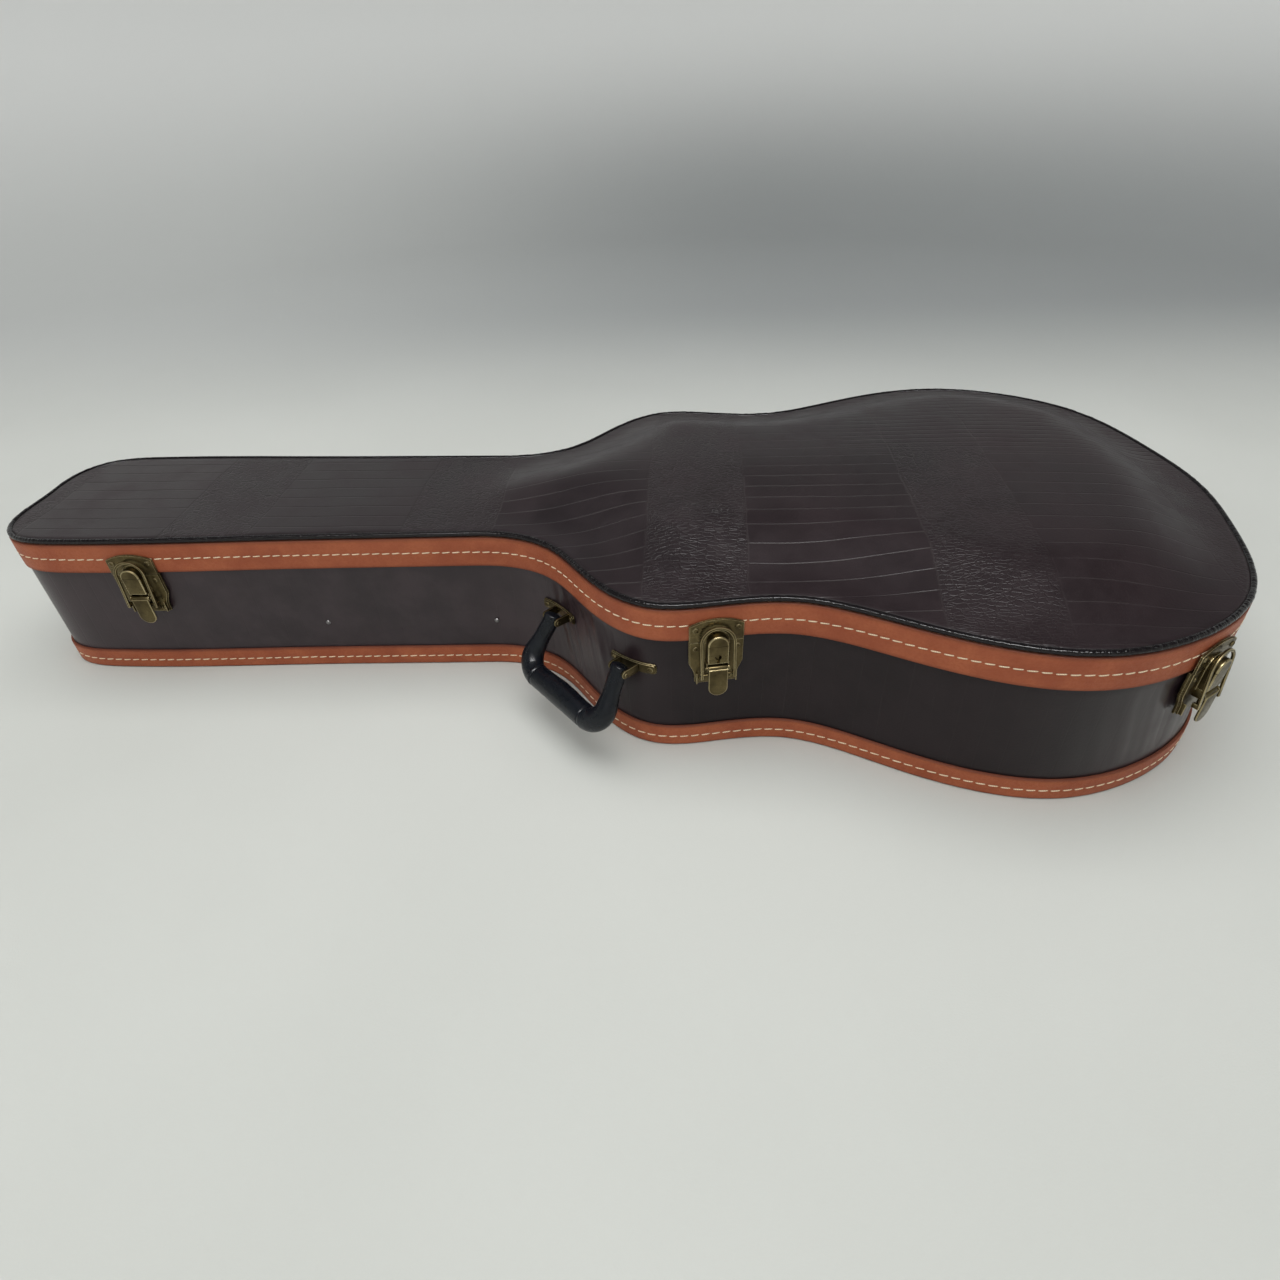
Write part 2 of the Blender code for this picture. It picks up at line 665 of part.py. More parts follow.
# ---------------------------------------------------------------- lid hinges
def bulge(name, outward):
    """The point of the far wall that stands out the furthest, within a hinge's span."""
    low, high = HINGE_SPANS[name]
    spots = [Vector((x, -y, 0)) for x, y in HALF_POINTS if low < x < high]
    return max(spots, key=outward.dot)


def hinge_line():
    """A point on the lid's hinge axis, its direction, and the way out from the case."""
    outward = Vector((0, 1, 0))
    for _ in range(4):
        head, lower = bulge("head", outward), bulge("lower", outward)
        along = (lower - head).normalized()
        outward = Vector((-along.y, along.x, 0))
    point = head + outward * HINGE_REACH
    point.z = PARTING
    return point, along, outward


def build_hinge(name):
    """A three-knuckle hinge, drawn with its leaves towards +Y and its axis along X."""
    point, along, outward = hinge_line()
    spot = bulge(name, outward)
    centre = point + along * (spot - point).dot(along)
    angle = math.atan2(along.y, along.x) + math.pi
    site = empty("hinge_" + name, Matrix.Translation(centre) @ Matrix.Rotation(angle, 4, "Z"))
    wall = Vector((spot.x - centre.x, spot.y - centre.y, 0)).length
    half, mid = HINGE_HALF, KNUCKLE_HALF
    bore = rod(0.0018, (-0.03, 0.03))

    base = part("hinge_" + name + "_base_leaf",
                block((-half, wall - GAP - 0.0015, -0.026), (half, wall - GAP, -0.0012)), BRASS,
                parent=site)
    for ends in ((-half, -mid - GAP), (mid + GAP, half)):
        join(base, rod(KNUCKLE_R, ends, sides=14))
        join(base, block((ends[0], 0, -0.0034), (ends[1], wall - GAP - 0.0005, -0.0014)))
    for side in (-1, 1):
        join(base, head_facing(0.0022, 0.0012, (side * 0.011, wall - GAP - 0.0013, -0.017)))
    cut(base, bore)

    face = wall - BAND_OUT - GAP
    lid = part("hinge_" + name + "_lid_leaf",
               block((-half, face - 0.0015, 0.0014), (half, face, 0.0240)), BRASS, parent=site)
    join(lid, rod(KNUCKLE_R, (-mid, mid), sides=14))
    join(lid, block((-mid, 0, 0.0014), (mid, face - 0.0005, 0.0034)))
    for side in (-1, 1):
        join(lid, head_facing(0.0022, 0.0012, (side * 0.011, face - 0.0013, 0.016)))
    cut(lid, bore.copy())

    part("hinge_" + name + "_pin", rod(0.0015, (-half - 0.0006, half + 0.0006)), BRASS, parent=site)


# ---------------------------------------------------------------- handle
def handle_frame():
    """Origin on the handle's axis midway between its arms, X along it, -Y away from the wall."""
    ends = [wall_at(x)[0] for x in HANDLE_ENDS]
    along = (ends[1] - ends[0]).normalized()
    outward = Vector((along.y, -along.x, 0))
    centre = (ends[0] + ends[1]) / 2 + outward * HANDLE_AXIS_OUT
    centre.z = HANDLE_AXIS_Z
    angle = math.atan2(along.y, along.x)
    span = (ends[1] - ends[0]).length
    return Matrix.Translation(centre) @ Matrix.Rotation(angle, 4, "Z"), span


def handle_path(span):
    """Down one arm, round its corner, along the grip and up the other arm, with local radii."""
    half, drop, corner = span / 2, HANDLE_DROP, HANDLE_CORNER
    elbow = half + HANDLE_SPLAY
    slant = math.degrees(math.atan2(HANDLE_SPLAY, drop - corner))
    left = [(-half, 0.005), (-half, 0.0), (-half - 0.32 * HANDLE_SPLAY, -0.011)]
    left += [(-half - 0.64 * HANDLE_SPLAY, -0.022)]
    left += arc((-elbow + corner, -drop + corner), corner, 180 - slant, 270, 6)
    left += [(-0.016, -drop)]
    path = left + [(0.0, -drop)] + [(-x, z) for x, z in left[::-1]]
    rows = []
    for x, z in path:
        share = ease((-z / drop - 0.35) / 0.5)
        rows.append((x, 0, z, ARM_R + (GRIP_R - ARM_R) * share))
    return rows


def wall_depth(inverse, x):
    """How far behind the handle's axis the near wall is, at x along the axis."""
    places = [inverse @ Vector((px, py, 0)) for px, py in HALF_POINTS if -0.09 < px < 0.12]
    return np.interp(x, [place.x for place in places], [place.y for place in places])


def build_handle():
    frame, span = handle_frame()
    site = empty("handle_axis", frame)
    tilt = empty("handle_lean", frame @ Matrix.Rotation(-HANDLE_LEAN, 4, "X"))
    grip = part("handle_grip", tube(handle_path(span), 1.0, resolution=2), PLASTIC, parent=tilt,
                smooth=True)
    cut(grip, rod(0.0019, (-span / 2 - 0.02, span / 2 + 0.02)))

    inverse = frame.inverted()
    for name, side in (("left", -1), ("right", 1)):
        arm = side * span / 2
        foot = frame @ Vector((arm, 0, 0))
        x = HANDLE_ENDS[0 if side < 0 else 1]
        shift = BRACKET_SHIFT[name]
        slope = math.cos(wall_at(x)[1])
        low, high = x + shift - BRACKET_LENGTH / 2 * slope, x + shift + BRACKET_LENGTH / 2 * slope
        z_low, z_high = foot.z - BRACKET_HEIGHT / 2, foot.z + BRACKET_HEIGHT / 2
        strip = wall_strip(low, high, GAP, GAP + 0.0016, z_low, z_high)
        strip.transform(inverse)
        bracket = part("handle_bracket_" + name, strip, BRASS, parent=site)
        for ear_side in (-1, 1):
            start = arm + ear_side * (ARM_R + GAP + 0.0003)
            xs = sorted((start, start + ear_side * EAR_THICK))
            root = wall_depth(inverse, sum(xs) / 2) - GAP - 0.0006
            tip = HANDLE_AXIS_OUT - EAR_REACH
            ear = [(root, -0.0045), (root, 0.0045)] + arc((tip + 0.0045, 0), 0.0045, 90, 270, 8)
            join(bracket, plate_yz([ear], *xs))
        for screw_side in (-1, 1):
            spot, angle = wall_at(x + shift + screw_side * (BRACKET_LENGTH / 2 - 0.005) * slope)
            place = Matrix.Translation((spot.x, spot.y, HANDLE_AXIS_Z))
            screw = head_facing(0.0026, 0.0016, (0, -GAP - 0.0012, 0))
            screw.transform(inverse @ place @ Matrix.Rotation(angle, 4, "Z"))
            join(bracket, screw)
        cut(bracket, rod(0.0019, (arm - 0.012, arm + 0.012)))
        reach = ARM_R + 2 * GAP + EAR_THICK + 0.0008
        part("handle_pin_" + name, rod(HANDLE_PIN_R, (arm - reach, arm + reach)), BRASS, parent=site)


build_base()
build_lid()
build_compartment()
build_cradle()
build_nail_heads()
for latch_name, latch_x in LATCH_X.items():
    build_latch(latch_name, latch_x)
cut_keyhole(bpy.data.objects["latch_waist_plate"])
for hinge_name in HINGE_SPANS:
    build_hinge(hinge_name)
build_handle()
bpy.context.view_layer.update()
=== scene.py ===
"""Looks of the guitar case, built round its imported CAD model.

Everything is in metres in the CAD's frame: +X to the tail end, -Y to the side with the latches
and the handle, +Z up. "Offset" is a distance outwards from the vinyl face of the side walls.
"""
import json
import math

import bmesh
import bpy
import numpy as np
from mathutils import Matrix, Vector, geometry, kdtree, noise


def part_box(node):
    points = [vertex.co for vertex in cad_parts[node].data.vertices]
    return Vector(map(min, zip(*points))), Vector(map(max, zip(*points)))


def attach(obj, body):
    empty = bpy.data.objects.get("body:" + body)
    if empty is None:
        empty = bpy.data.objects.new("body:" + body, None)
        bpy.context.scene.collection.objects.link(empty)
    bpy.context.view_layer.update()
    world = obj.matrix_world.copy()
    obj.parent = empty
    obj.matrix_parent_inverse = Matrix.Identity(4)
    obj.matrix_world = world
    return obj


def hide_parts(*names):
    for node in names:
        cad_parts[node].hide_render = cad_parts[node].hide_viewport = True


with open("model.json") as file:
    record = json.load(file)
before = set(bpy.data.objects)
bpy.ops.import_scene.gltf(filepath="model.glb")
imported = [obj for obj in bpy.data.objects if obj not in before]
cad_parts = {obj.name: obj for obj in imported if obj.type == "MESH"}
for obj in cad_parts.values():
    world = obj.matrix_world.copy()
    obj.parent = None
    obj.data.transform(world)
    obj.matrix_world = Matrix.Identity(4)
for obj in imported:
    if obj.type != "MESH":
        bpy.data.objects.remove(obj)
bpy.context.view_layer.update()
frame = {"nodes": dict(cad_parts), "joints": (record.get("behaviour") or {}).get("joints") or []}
JOINTS = {joint["name"]: joint for joint in frame["joints"]}

# ---------------------------------------------------------------- dimensions shared with the CAD
GAP = 0.0003
HALF_OUTLINE = (
    (-0.5425, 0.000), (-0.5400, 0.051), (-0.5280, 0.071), (-0.4700, 0.086), (-0.2930, 0.082),
    (-0.1120, 0.0775), (-0.0730, 0.079), (-0.0340, 0.095), (0.0100, 0.147), (0.0590, 0.185),
    (0.1120, 0.1825), (0.1710, 0.178), (0.2350, 0.202), (0.3030, 0.232), (0.3710, 0.242),
    (0.4300, 0.226), (0.4970, 0.172), (0.5310, 0.081), (0.5425, 0.000),
)
PARTING = 0.111
BASE_BAND = (0.0005, 0.021)
LID_BAND = (PARTING + GAP / 2, 0.140)
LID_EDGE_TOP = 0.1447
PANEL_THICK = 0.006
PLY = 0.005
SKIN = 0.001
BAND_OUT = 0.0023
PIPING_R = 0.0025
LINING_BACK = -(SKIN + PLY + 3 * GAP)
LINING_FRONT = LINING_BACK - 0.006
DOME_START = -0.135
DOME_RAMP = 0.150
FLOOR_LINING_TOP = 0.016
BASE_LINING_TOP = PARTING + 0.0065
LID_LINING_LOW = PARTING + 0.008
LID_LINING_HIGH = 0.1335
LID_LINING_DROP = 0.0090


# ---------------------------------------------------------------- shader nodes
class Finish:
    """A material under construction: short calls that add nodes and link them up. Where they
    take a value, that is a number, a tuple or the socket of another node."""

    def __init__(self, name):
        self.material = bpy.data.materials.new(name)
        self.material.use_nodes = True
        self.tree = self.material.node_tree
        self.shader = self.tree.nodes["Principled BSDF"]

    def put(self, socket, value):
        if isinstance(value, bpy.types.NodeSocket):
            self.tree.links.new(value, socket)
        else:
            socket.default_value = value

    def node(self, kind, inputs=(), **settings):
        made = self.tree.nodes.new("ShaderNode" + kind)
        for name, value in settings.items():
            setattr(made, name, value)
        for name, value in dict(inputs).items():
            self.put(made.inputs[name], value)
        return made

    def math(self, operation, *values, kind="Math"):
        made = self.node(kind, operation=operation)
        for socket, value in zip(made.inputs, values):
            self.put(socket, value)
        return made.outputs[0]

    def times(self, a, b):
        return self.math("MULTIPLY", a, b)

    def plus(self, a, b):
        return self.math("ADD", a, b)

    def less(self, a, b):
        return self.math("SUBTRACT", a, b)

    def away(self, value, centre):
        """Distance from a centre."""
        return self.math("ABSOLUTE", self.less(value, centre))

    def repeats(self, value, pitch):
        """Distance from the middle of each repeat: 0.5 where one meets the next."""
        return self.away(self.math("FRACT", self.math("DIVIDE", value, pitch)), 0.5)

    def scaled(self, vector, factors):
        return self.math("MULTIPLY", vector, factors, kind="VectorMath")

    def axes(self, vector):
        """A vector's X, Y and Z, by name."""
        return self.node("SeparateXYZ", {"Vector": vector}).outputs

    def place(self):
        """Object coordinates, which are the row frame's at rest."""
        return self.node("TexCoord").outputs["Object"]

    def grain(self):
        """The piece's own surface coordinates, in metres."""
        return self.node("Attribute", attribute_name="grain").outputs["Vector"]

    def noise(self, vector, scale, detail=2.0, roughness=0.5):
        inputs = {"Vector": vector, "Scale": scale, "Detail": detail, "Roughness": roughness}
        return self.node("TexNoise", inputs).outputs["Fac"]

    def cells(self, vector, scale, feature="F1", randomness=1.0):
        inputs = {"Vector": vector, "Scale": scale, "Randomness": randomness}
        return self.node("TexVoronoi", inputs, feature=feature).outputs["Distance"]

    def between(self, value, low, high, to_low=0.0, to_high=1.0):
        """A smooth step from to_low, where the value is low, to to_high, where it is high."""
        inputs = {"Value": value, "From Min": low, "From Max": high,
                  "To Min": to_low, "To Max": to_high}
        return self.node("MapRange", inputs, interpolation_type="SMOOTHSTEP").outputs["Result"]

    def mix(self, factor, a, b):
        made = self.node("Mix", data_type="RGBA")
        self.put(made.inputs["Factor"], factor)
        for socket, colour in ((made.inputs[6], a), (made.inputs[7], b)):
            self.put(socket, colour if isinstance(colour, bpy.types.NodeSocket) else (*colour, 1.0))
        return made.outputs[2]

    def bumps(self, *layers):
        """Bumps on top of one another, each a height, a distance and perhaps a strength."""
        normal = None
        for height, distance, *strength in layers:
            inputs = {"Height": height, "Distance": distance, "Strength": (strength or [1.0])[0]}
            if normal:
                inputs["Normal"] = normal
            normal = self.node("Bump", inputs).outputs["Normal"]
        return normal

    def done(self, **sockets):
        """The finished material, with these inputs of its shader set."""
        for name, value in sockets.items():
            socket = self.shader.inputs[name.replace("_", " ")]
            if isinstance(value, tuple) and len(value) == 3 and socket.type == "RGBA":
                value = (*value, 1.0)
            self.put(socket, value)
        return self.material


def toned(colour, tone):
    """A colour, brighter or darker."""
    return tuple(c * tone for c in colour)


BELLY_WIDTH, BELLY_START = 0.218, 0.45 + 0.109
LONG_ROW, CLOSE_ROW = 0.0188, 0.0098
BELLY_EDGE = 0.312
SMALL_SCALES = (155.0, 320.0, 0.0)
SCALE_DRIFT = (0.008, 0.0026, 0.0)


def crocodile_vinyl(name, tone=1.0, gloss=0.34, groove_glint=0.55, level=0.42, fade=1.0,
                    relief=0.00026, tail_level=0.24):
    """Embossed vinyl: rows of long belly scales, with small narrow ones between the bellies.

    Tone scales the colour, and fade multiplies it at both ends along the case, which paints
    reflections on the walls. Gloss is the least roughness, groove_glint the painted glint that
    lightens the grooves, relief the scales' height, and level and tail_level the
    highlights' strength in the middle and at the tail."""
    f = Finish(name)
    grain = f.grain()
    drift = f.node("TexNoise", {"Vector": grain, "Scale": 16.0, "Detail": 3.0}).outputs["Color"]
    drift = f.math("SUBTRACT", drift, (0.5, 0.5, 0.5), kind="VectorMath")
    warped = f.math("ADD", grain, f.scaled(drift, SCALE_DRIFT), kind="VectorMath")
    at = f.axes(warped)
    reach = f.repeats(f.plus(at["X"], BELLY_START), BELLY_WIDTH)
    rows = f.between(f.repeats(at["Y"], LONG_ROW), 0.0, 0.045)
    close = f.between(f.repeats(at["Y"], CLOSE_ROW), 0.0, 0.16)
    far_tail = f.times(f.between(at["X"], 0.20, 0.30), f.between(at["Y"], 0.0, 0.05))
    rows = f.plus(f.times(rows, f.less(1.0, far_tail)), f.times(close, far_tail))
    belly = f.math("MAXIMUM", f.between(reach, 0.325, 0.300), far_tail)
    ends = f.between(f.away(reach, BELLY_EDGE), 0.0, 0.006, 0.45, 1.0)
    edge = f.cells(f.scaled(warped, SMALL_SCALES), 1.0, "DISTANCE_TO_EDGE", 0.85)
    narrow = f.between(edge, 0.0, 0.12)
    scales = f.plus(f.times(belly, rows), f.times(f.less(1.0, belly), narrow))
    scales = f.times(scales, ends)

    place = f.place()
    spot = f.axes(place)
    along, across = spot["X"], spot["Y"]
    tail_corner = f.times(f.between(along, 0.22, 0.42), f.between(across, 0.03, -0.13))
    calm = f.between(tail_corner, 0.0, 1.0, 1.0, 0.42)
    grit = f.plus(f.noise(grain, 1500.0), f.cells(grain, 620.0))
    normal = f.bumps((f.noise(place, 7.0, 1.0), 0.0008), (scales, relief, calm),
                     (close, relief * 0.9, far_tail), (grit, 0.00004))

    mottle = f.between(f.noise(place, 26.0, 4.0, 0.6), 0.3, 0.75)
    cloudy = f.between(f.noise(place, 4.5), 0.3, 0.7)
    colour = f.mix(mottle, toned((0.0112, 0.0071, 0.0088), tone),
                   toned((0.0208, 0.0138, 0.0164), tone))
    colour = f.mix(f.times(cloudy, 0.4), colour, toned((0.0250, 0.0140, 0.0164), tone))
    patchy = f.between(f.noise(place, 19.0), 0.35, 0.65, 0.12, 1.0)
    patchy = f.math("MAXIMUM", f.times(patchy, calm), f.times(far_tail, 0.40))
    groove = f.times(f.less(1.0, scales), patchy)
    groove = f.times(groove, f.between(belly, 0.0, 1.0, 0.26, 1.0))
    # Towards both ends the colour is multiplied by fade: painted reflections on the walls.
    middle = f.times(f.between(along, -0.01, 0.09), f.between(along, 0.47, 0.37))
    colour = f.scaled(colour, f.mix(middle, (fade, fade, fade), (1.0, 1.0, 1.0)))
    # Grooves painted lighter as glints of light, and darker on the neck as painted shade.
    wear_and_glint = f.mix(f.between(along, -0.16, -0.05), (0.008, 0.005, 0.006), (0.062, 0.053, 0.052))
    colour = f.mix(f.times(groove, groove_glint), colour, wear_and_glint)
    rough = f.between(f.plus(mottle, groove), 0.0, 1.4, gloss, gloss + 0.13)
    at_tail = f.between(along, 0.28, 0.45)
    shiny = f.times(f.between(middle, 0.0, 1.0, 0.42, level), f.less(1.0, at_tail))
    shiny = f.plus(shiny, f.times(at_tail, tail_level))
    return f.done(Base_Color=colour, Roughness=rough, Normal=normal, Specular_IOR_Level=shiny)


def black_piping():
    """The rolled edge: glossy black vinyl that creases across its length."""
    f = Finish("black_piping")
    grain = f.grain()
    creases = f.noise(f.scaled(grain, (1.0, 0.25, 1.0)), 260.0, 3.0, 0.6)
    normal = f.bumps((creases, 0.0011), (f.noise(grain, 1800.0), 0.00003))
    colour = f.mix(f.noise(grain, 60.0), (0.0025, 0.0018, 0.0025), (0.0075, 0.0050, 0.0065))
    rough = f.between(f.noise(grain, 120.0), 0.3, 0.7, 0.10, 0.20)
    return f.done(Base_Color=colour, Roughness=rough, Normal=normal, Specular_IOR_Level=0.36)


def tan_leather():
    """Leather band: fine pores, soft cloudy colour, and darker burnished edges."""
    f = Finish("tan_leather")
    grain, place = f.grain(), f.place()
    edge = f.node("Attribute", attribute_name="edge").outputs["Fac"]
    clouds = f.between(f.noise(place, 34.0, 3.0, 0.6), 0.3, 0.7)
    flecks = f.between(f.noise(grain, 420.0, 3.0, 0.7), 0.35, 0.7)
    colour = f.mix(clouds, (0.312, 0.077, 0.033), (0.400, 0.112, 0.048))
    colour = f.mix(f.times(flecks, 0.3), colour, (0.255, 0.058, 0.023))
    colour = f.mix(f.times(edge, 0.75), colour, (0.100, 0.026, 0.014))
    pores = f.cells(grain, 760.0, "DISTANCE_TO_EDGE")
    creases = f.noise(f.scaled(grain, (1.0, 3.0, 1.0)), 150.0, 4.0, 0.65)
    normal = f.bumps((creases, 0.00016), (f.between(pores, 0.0, 0.16), 0.00006))
    rough = f.between(f.plus(flecks, edge), 0.0, 1.5, 0.46, 0.66)
    return f.done(Base_Color=colour, Roughness=rough, Normal=normal, Specular_IOR_Level=0.25)


def cream_thread():
    """Twisted thread, in fine diagonal stripes."""
    f = Finish("cream_thread")
    twist = f.node("TexWave", {"Vector": f.grain(), "Scale": 420.0, "Distortion": 0.5},
                   bands_direction="DIAGONAL").outputs["Fac"]
    colour = f.mix(twist, (0.66, 0.50, 0.32), (0.98, 0.86, 0.64))
    return f.done(Base_Color=colour, Roughness=0.75, Normal=f.bumps((twist, 0.00015)),
                  Sheen_Weight=0.2)


def antique_brass(name, light, dark, rough):
    """Brass with a brown patina in its low spots, and fine scratches from handling."""
    f = Finish(name)
    place = f.place()
    patina = f.between(f.noise(place, 55.0, 4.0, 0.55), 0.32, 0.72)
    spots = f.between(f.noise(place, 380.0, 3.0, 0.6), 0.48, 0.80)
    streaks = f.noise(f.scaled(place, (260.0, 260.0, 1400.0)), 1.0, 3.0)
    colour = f.mix(patina, light, dark)
    colour = f.mix(f.times(spots, 0.3), colour, toned(dark, 0.5))
    wear_and_glint = f.plus(f.plus(patina, spots), streaks)
    normal = f.bumps((streaks, 0.00003), (f.noise(place, 900.0, 3.0), 0.00004))
    return f.done(Base_Color=colour, Metallic=1.0, Normal=normal,
                  Roughness=f.between(wear_and_glint, 0.2, 2.2, rough, rough + 0.27))


def dull_steel():
    """Tarnished nail heads."""
    f = Finish("dull_steel")
    tarnish = f.noise(f.place(), 600.0, 4.0)
    colour = f.mix(tarnish, (0.12, 0.115, 0.115), (0.30, 0.29, 0.29))
    return f.done(Base_Color=colour, Metallic=1.0, Normal=f.bumps((tarnish, 0.00004)),
                  Roughness=f.between(tarnish, 0.3, 0.7, 0.32, 0.55))


def moulded_plastic():
    """The handle: navy-black plastic with a fine matt texture and a few rubbed places."""
    f = Finish("navy_black_plastic")
    place = f.place()
    rub = f.between(f.noise(place, 48.0, 4.0, 0.6), 0.4, 0.75)
    colour = f.mix(rub, (0.0038, 0.0050, 0.0080), (0.0072, 0.0092, 0.0138))
    normal = f.bumps((f.noise(place, 40.0, 1.0), 0.0003), (f.noise(place, 1700.0), 0.000015))
    return f.done(Base_Color=colour, Roughness=f.between(rub, 0.0, 1.0, 0.27, 0.36),
                  Normal=normal, Specular_IOR_Level=0.33)


def gold_plush():
    """Short pile: soft sheen, patches painted lighter and darker as the nap's sheen, fine tufts."""
    f = Finish("gold_plush")
    place = f.place()
    # Painted sheen: patches where the nap catches more or less light.
    nap_sheen = f.between(f.noise(place, 13.0, 4.0, 0.6), 0.36, 0.66)
    tufts = f.noise(place, 900.0, 3.0, 0.7)
    clumps = f.noise(place, 240.0, 3.0, 0.6)
    colour = f.mix(nap_sheen, (0.290, 0.155, 0.052), (0.400, 0.230, 0.085))
    colour = f.mix(f.between(tufts, 0.35, 0.7, 0.0, 0.55), colour, (0.150, 0.072, 0.022))
    normal = f.bumps((clumps, 0.0007), (tufts, 0.0006))
    return f.done(Base_Color=colour, Roughness=0.95, Normal=normal, Specular_IOR_Level=0.15,
                  Sheen_Weight=0.55, Sheen_Roughness=0.45, Sheen_Tint=(1.0, 0.80, 0.50))


PLY_LAYER = 0.0025


def plywood():
    """Bent plywood: the grain runs along the wall, and thin plies show on its edges."""
    f = Finish("plywood")
    grain = f.grain()
    plies = f.math("SINE", f.times(f.axes(grain)["Y"], 2 * math.pi / PLY_LAYER))
    fibres = f.noise(f.scaled(grain, (18.0, 700.0, 420.0)), 1.0, 4.0, 0.6)
    colour = f.mix(f.between(plies, -0.3, 0.3), (0.33, 0.20, 0.10), (0.50, 0.34, 0.19))
    colour = f.mix(f.times(fibres, 0.6), colour, (0.26, 0.15, 0.075))
    return f.done(Base_Color=colour, Roughness=0.72, Normal=f.bumps((fibres, 0.0002)))


def studio_floor():
    """The backdrop cloth, pale, with painted light and shade: darker behind the case and to the
    right, lighter on the lower backdrop and high on the left, dark grey at the top.
    """
    f = Finish("pale_floor")
    place = f.place()
    at = f.axes(place)
    # Masks for the painted shade and light on the backdrop.
    behind = f.between(at["Y"], 0.30, 1.20)
    right = f.between(at["X"], -1.5, 0.4)
    raised = f.between(at["Z"], 0.0, 0.55)
    high = f.between(at["Z"], 0.62, 1.0)
    soft = f.between(f.noise(place, 1.6, 3.0), 0.3, 0.7)
    weave = f.noise(place, 700.0)
    creases = f.noise(f.scaled(place, (1.0, 0.45, 1.0)), 5.0, 3.0)
    colour = f.mix(soft, (0.585, 0.600, 0.575), (0.630, 0.645, 0.620))
    far = f.mix(right, (0.550, 0.565, 0.560), (0.320, 0.335, 0.340))
    far = f.mix(raised, far, (0.780, 0.790, 0.785))
    far = f.mix(high, far, f.mix(right, (0.860, 0.870, 0.870), (0.400, 0.410, 0.410)))
    colour = f.mix(behind, colour, far)
    # Painted shade: dark grey high up the backdrop.
    colour = f.mix(f.between(at["Z"], 1.2, 2.3), colour, (0.220, 0.225, 0.223))
    normal = f.bumps((creases, 0.004), (weave, 0.0001))
    return f.done(Base_Color=colour, Roughness=0.85, Normal=normal, Specular_IOR_Level=0.2)


VINYL = crocodile_vinyl("crocodile_vinyl")
# The walls' vinyl: a darker copy (tone 0.75) as painted shade, and lighter at the neck and tail
# (fade 2.4) as painted reflections.
LIT_AND_SHADED_WALL_VINYL = crocodile_vinyl("crocodile_vinyl_walls_painted_light", tone=0.75, gloss=0.28, groove_glint=0.07,
                             level=0.25, fade=2.4, relief=0.00007, tail_level=0.50)
PIPING = black_piping()
LEATHER = tan_leather()
THREAD = cream_thread()
BRASS = antique_brass("antique_brass", (0.138, 0.107, 0.050), (0.060, 0.045, 0.022), 0.25)
# Worn brass for rounded edges: lighter as wear and as a painted highlight.
WORN_HIGHLIT_BRASS = antique_brass("antique_brass_worn_highlit", (0.480, 0.400, 0.230),
                           (0.270, 0.215, 0.112), 0.23)
STEEL = dull_steel()
PLASTIC = moulded_plastic()
PLUSH = gold_plush()
WOOD = plywood()


# ---------------------------------------------------------------- the plan outline
def closed_spline(knots, steps):
    """Points along a smooth closed cubic curve, with so many steps from knot to knot."""
    knots = np.array(knots)
    count = len(knots)
    after = np.roll(knots, -1, axis=0)
    span = np.linalg.norm(after - knots, axis=1)
    back = np.roll(span, 1)
    system = np.zeros((count, count))
    for i in range(count):
        system[i, i - 1] += 1 / back[i]
        system[i, i] += 2 / back[i] + 2 / span[i]
        system[i, (i + 1) % count] += 1 / span[i]
    rise = (after - knots) / (span ** 2)[:, None]
    slopes = np.linalg.solve(system, 3 * (rise + np.roll(rise, 1, axis=0)))
    after_slopes = np.roll(slopes, -1, axis=0)
    points = []
    for i in range(count):
        t = (np.arange(steps) / steps)[:, None]
        h = span[i]
        points.append((1 + 2 * t) * (1 - t) ** 2 * knots[i] + t * (1 - t) ** 2 * h * slopes[i]
                      + t * t * (3 - 2 * t) * after[i] - t * t * (1 - t) * h * after_slopes[i])
    return np.vstack(points)


NEAR_KNOTS = [(x, -y) for x, y in HALF_OUTLINE]
FAR_KNOTS = [(x, y) for x, y in HALF_OUTLINE[-2:0:-1]]
FINE = closed_spline(NEAR_KNOTS + FAR_KNOTS, 80)
FINE_LENGTH = np.r_[0, np.cumsum(np.linalg.norm(np.roll(FINE, -1, 0) - FINE, axis=1))]
PERIMETER = FINE_LENGTH[-1]


def on_outline(places):
    """Points and outward directions at distances along the outline, from the head end round
    the near side to the tail and back along the far side."""
    places = np.asarray(places, float)
    closed = np.vstack([FINE, FINE[:1]])

    def at(where):
        where = np.mod(where, PERIMETER)
        return np.column_stack([np.interp(where, FINE_LENGTH, closed[:, k]) for k in (0, 1)])

    ahead, behind = at(places + 0.0015), at(places - 0.0015)
    heading = ahead - behind
    heading /= np.linalg.norm(heading, axis=1)[:, None]
    return at(places), np.column_stack([heading[:, 1], -heading[:, 0]])


LOOP_STEPS = 736


def loop(offset, count=LOOP_STEPS):
    """The whole outline moved outwards by offset."""
    points, outward = on_outline(np.arange(count) * PERIMETER / count)
    return points + outward * offset


def near_place(x):
    """Distance along the outline of the near wall at x."""
    half = len(FINE) // 2 + 1
    return np.interp(x, FINE[:half, 0], FINE_LENGTH[:half])


# ---------------------------------------------------------------- mesh building
def set_values(mesh, name, values, kind="FLOAT_VECTOR"):
    """A value for each vertex, which the materials read by name."""
    attribute = mesh.attributes.new(name, kind, "POINT")
    key = "vector" if kind == "FLOAT_VECTOR" else "value"
    attribute.data.foreach_set(key, np.ascontiguousarray(values, np.float32).ravel())


def smooth(mesh, angle=40):
    """Smooth shading, with creases kept where faces meet at more than the angle in degrees."""
    mesh.shade_smooth()
    mesh.set_sharp_from_angle(angle=math.radians(angle))


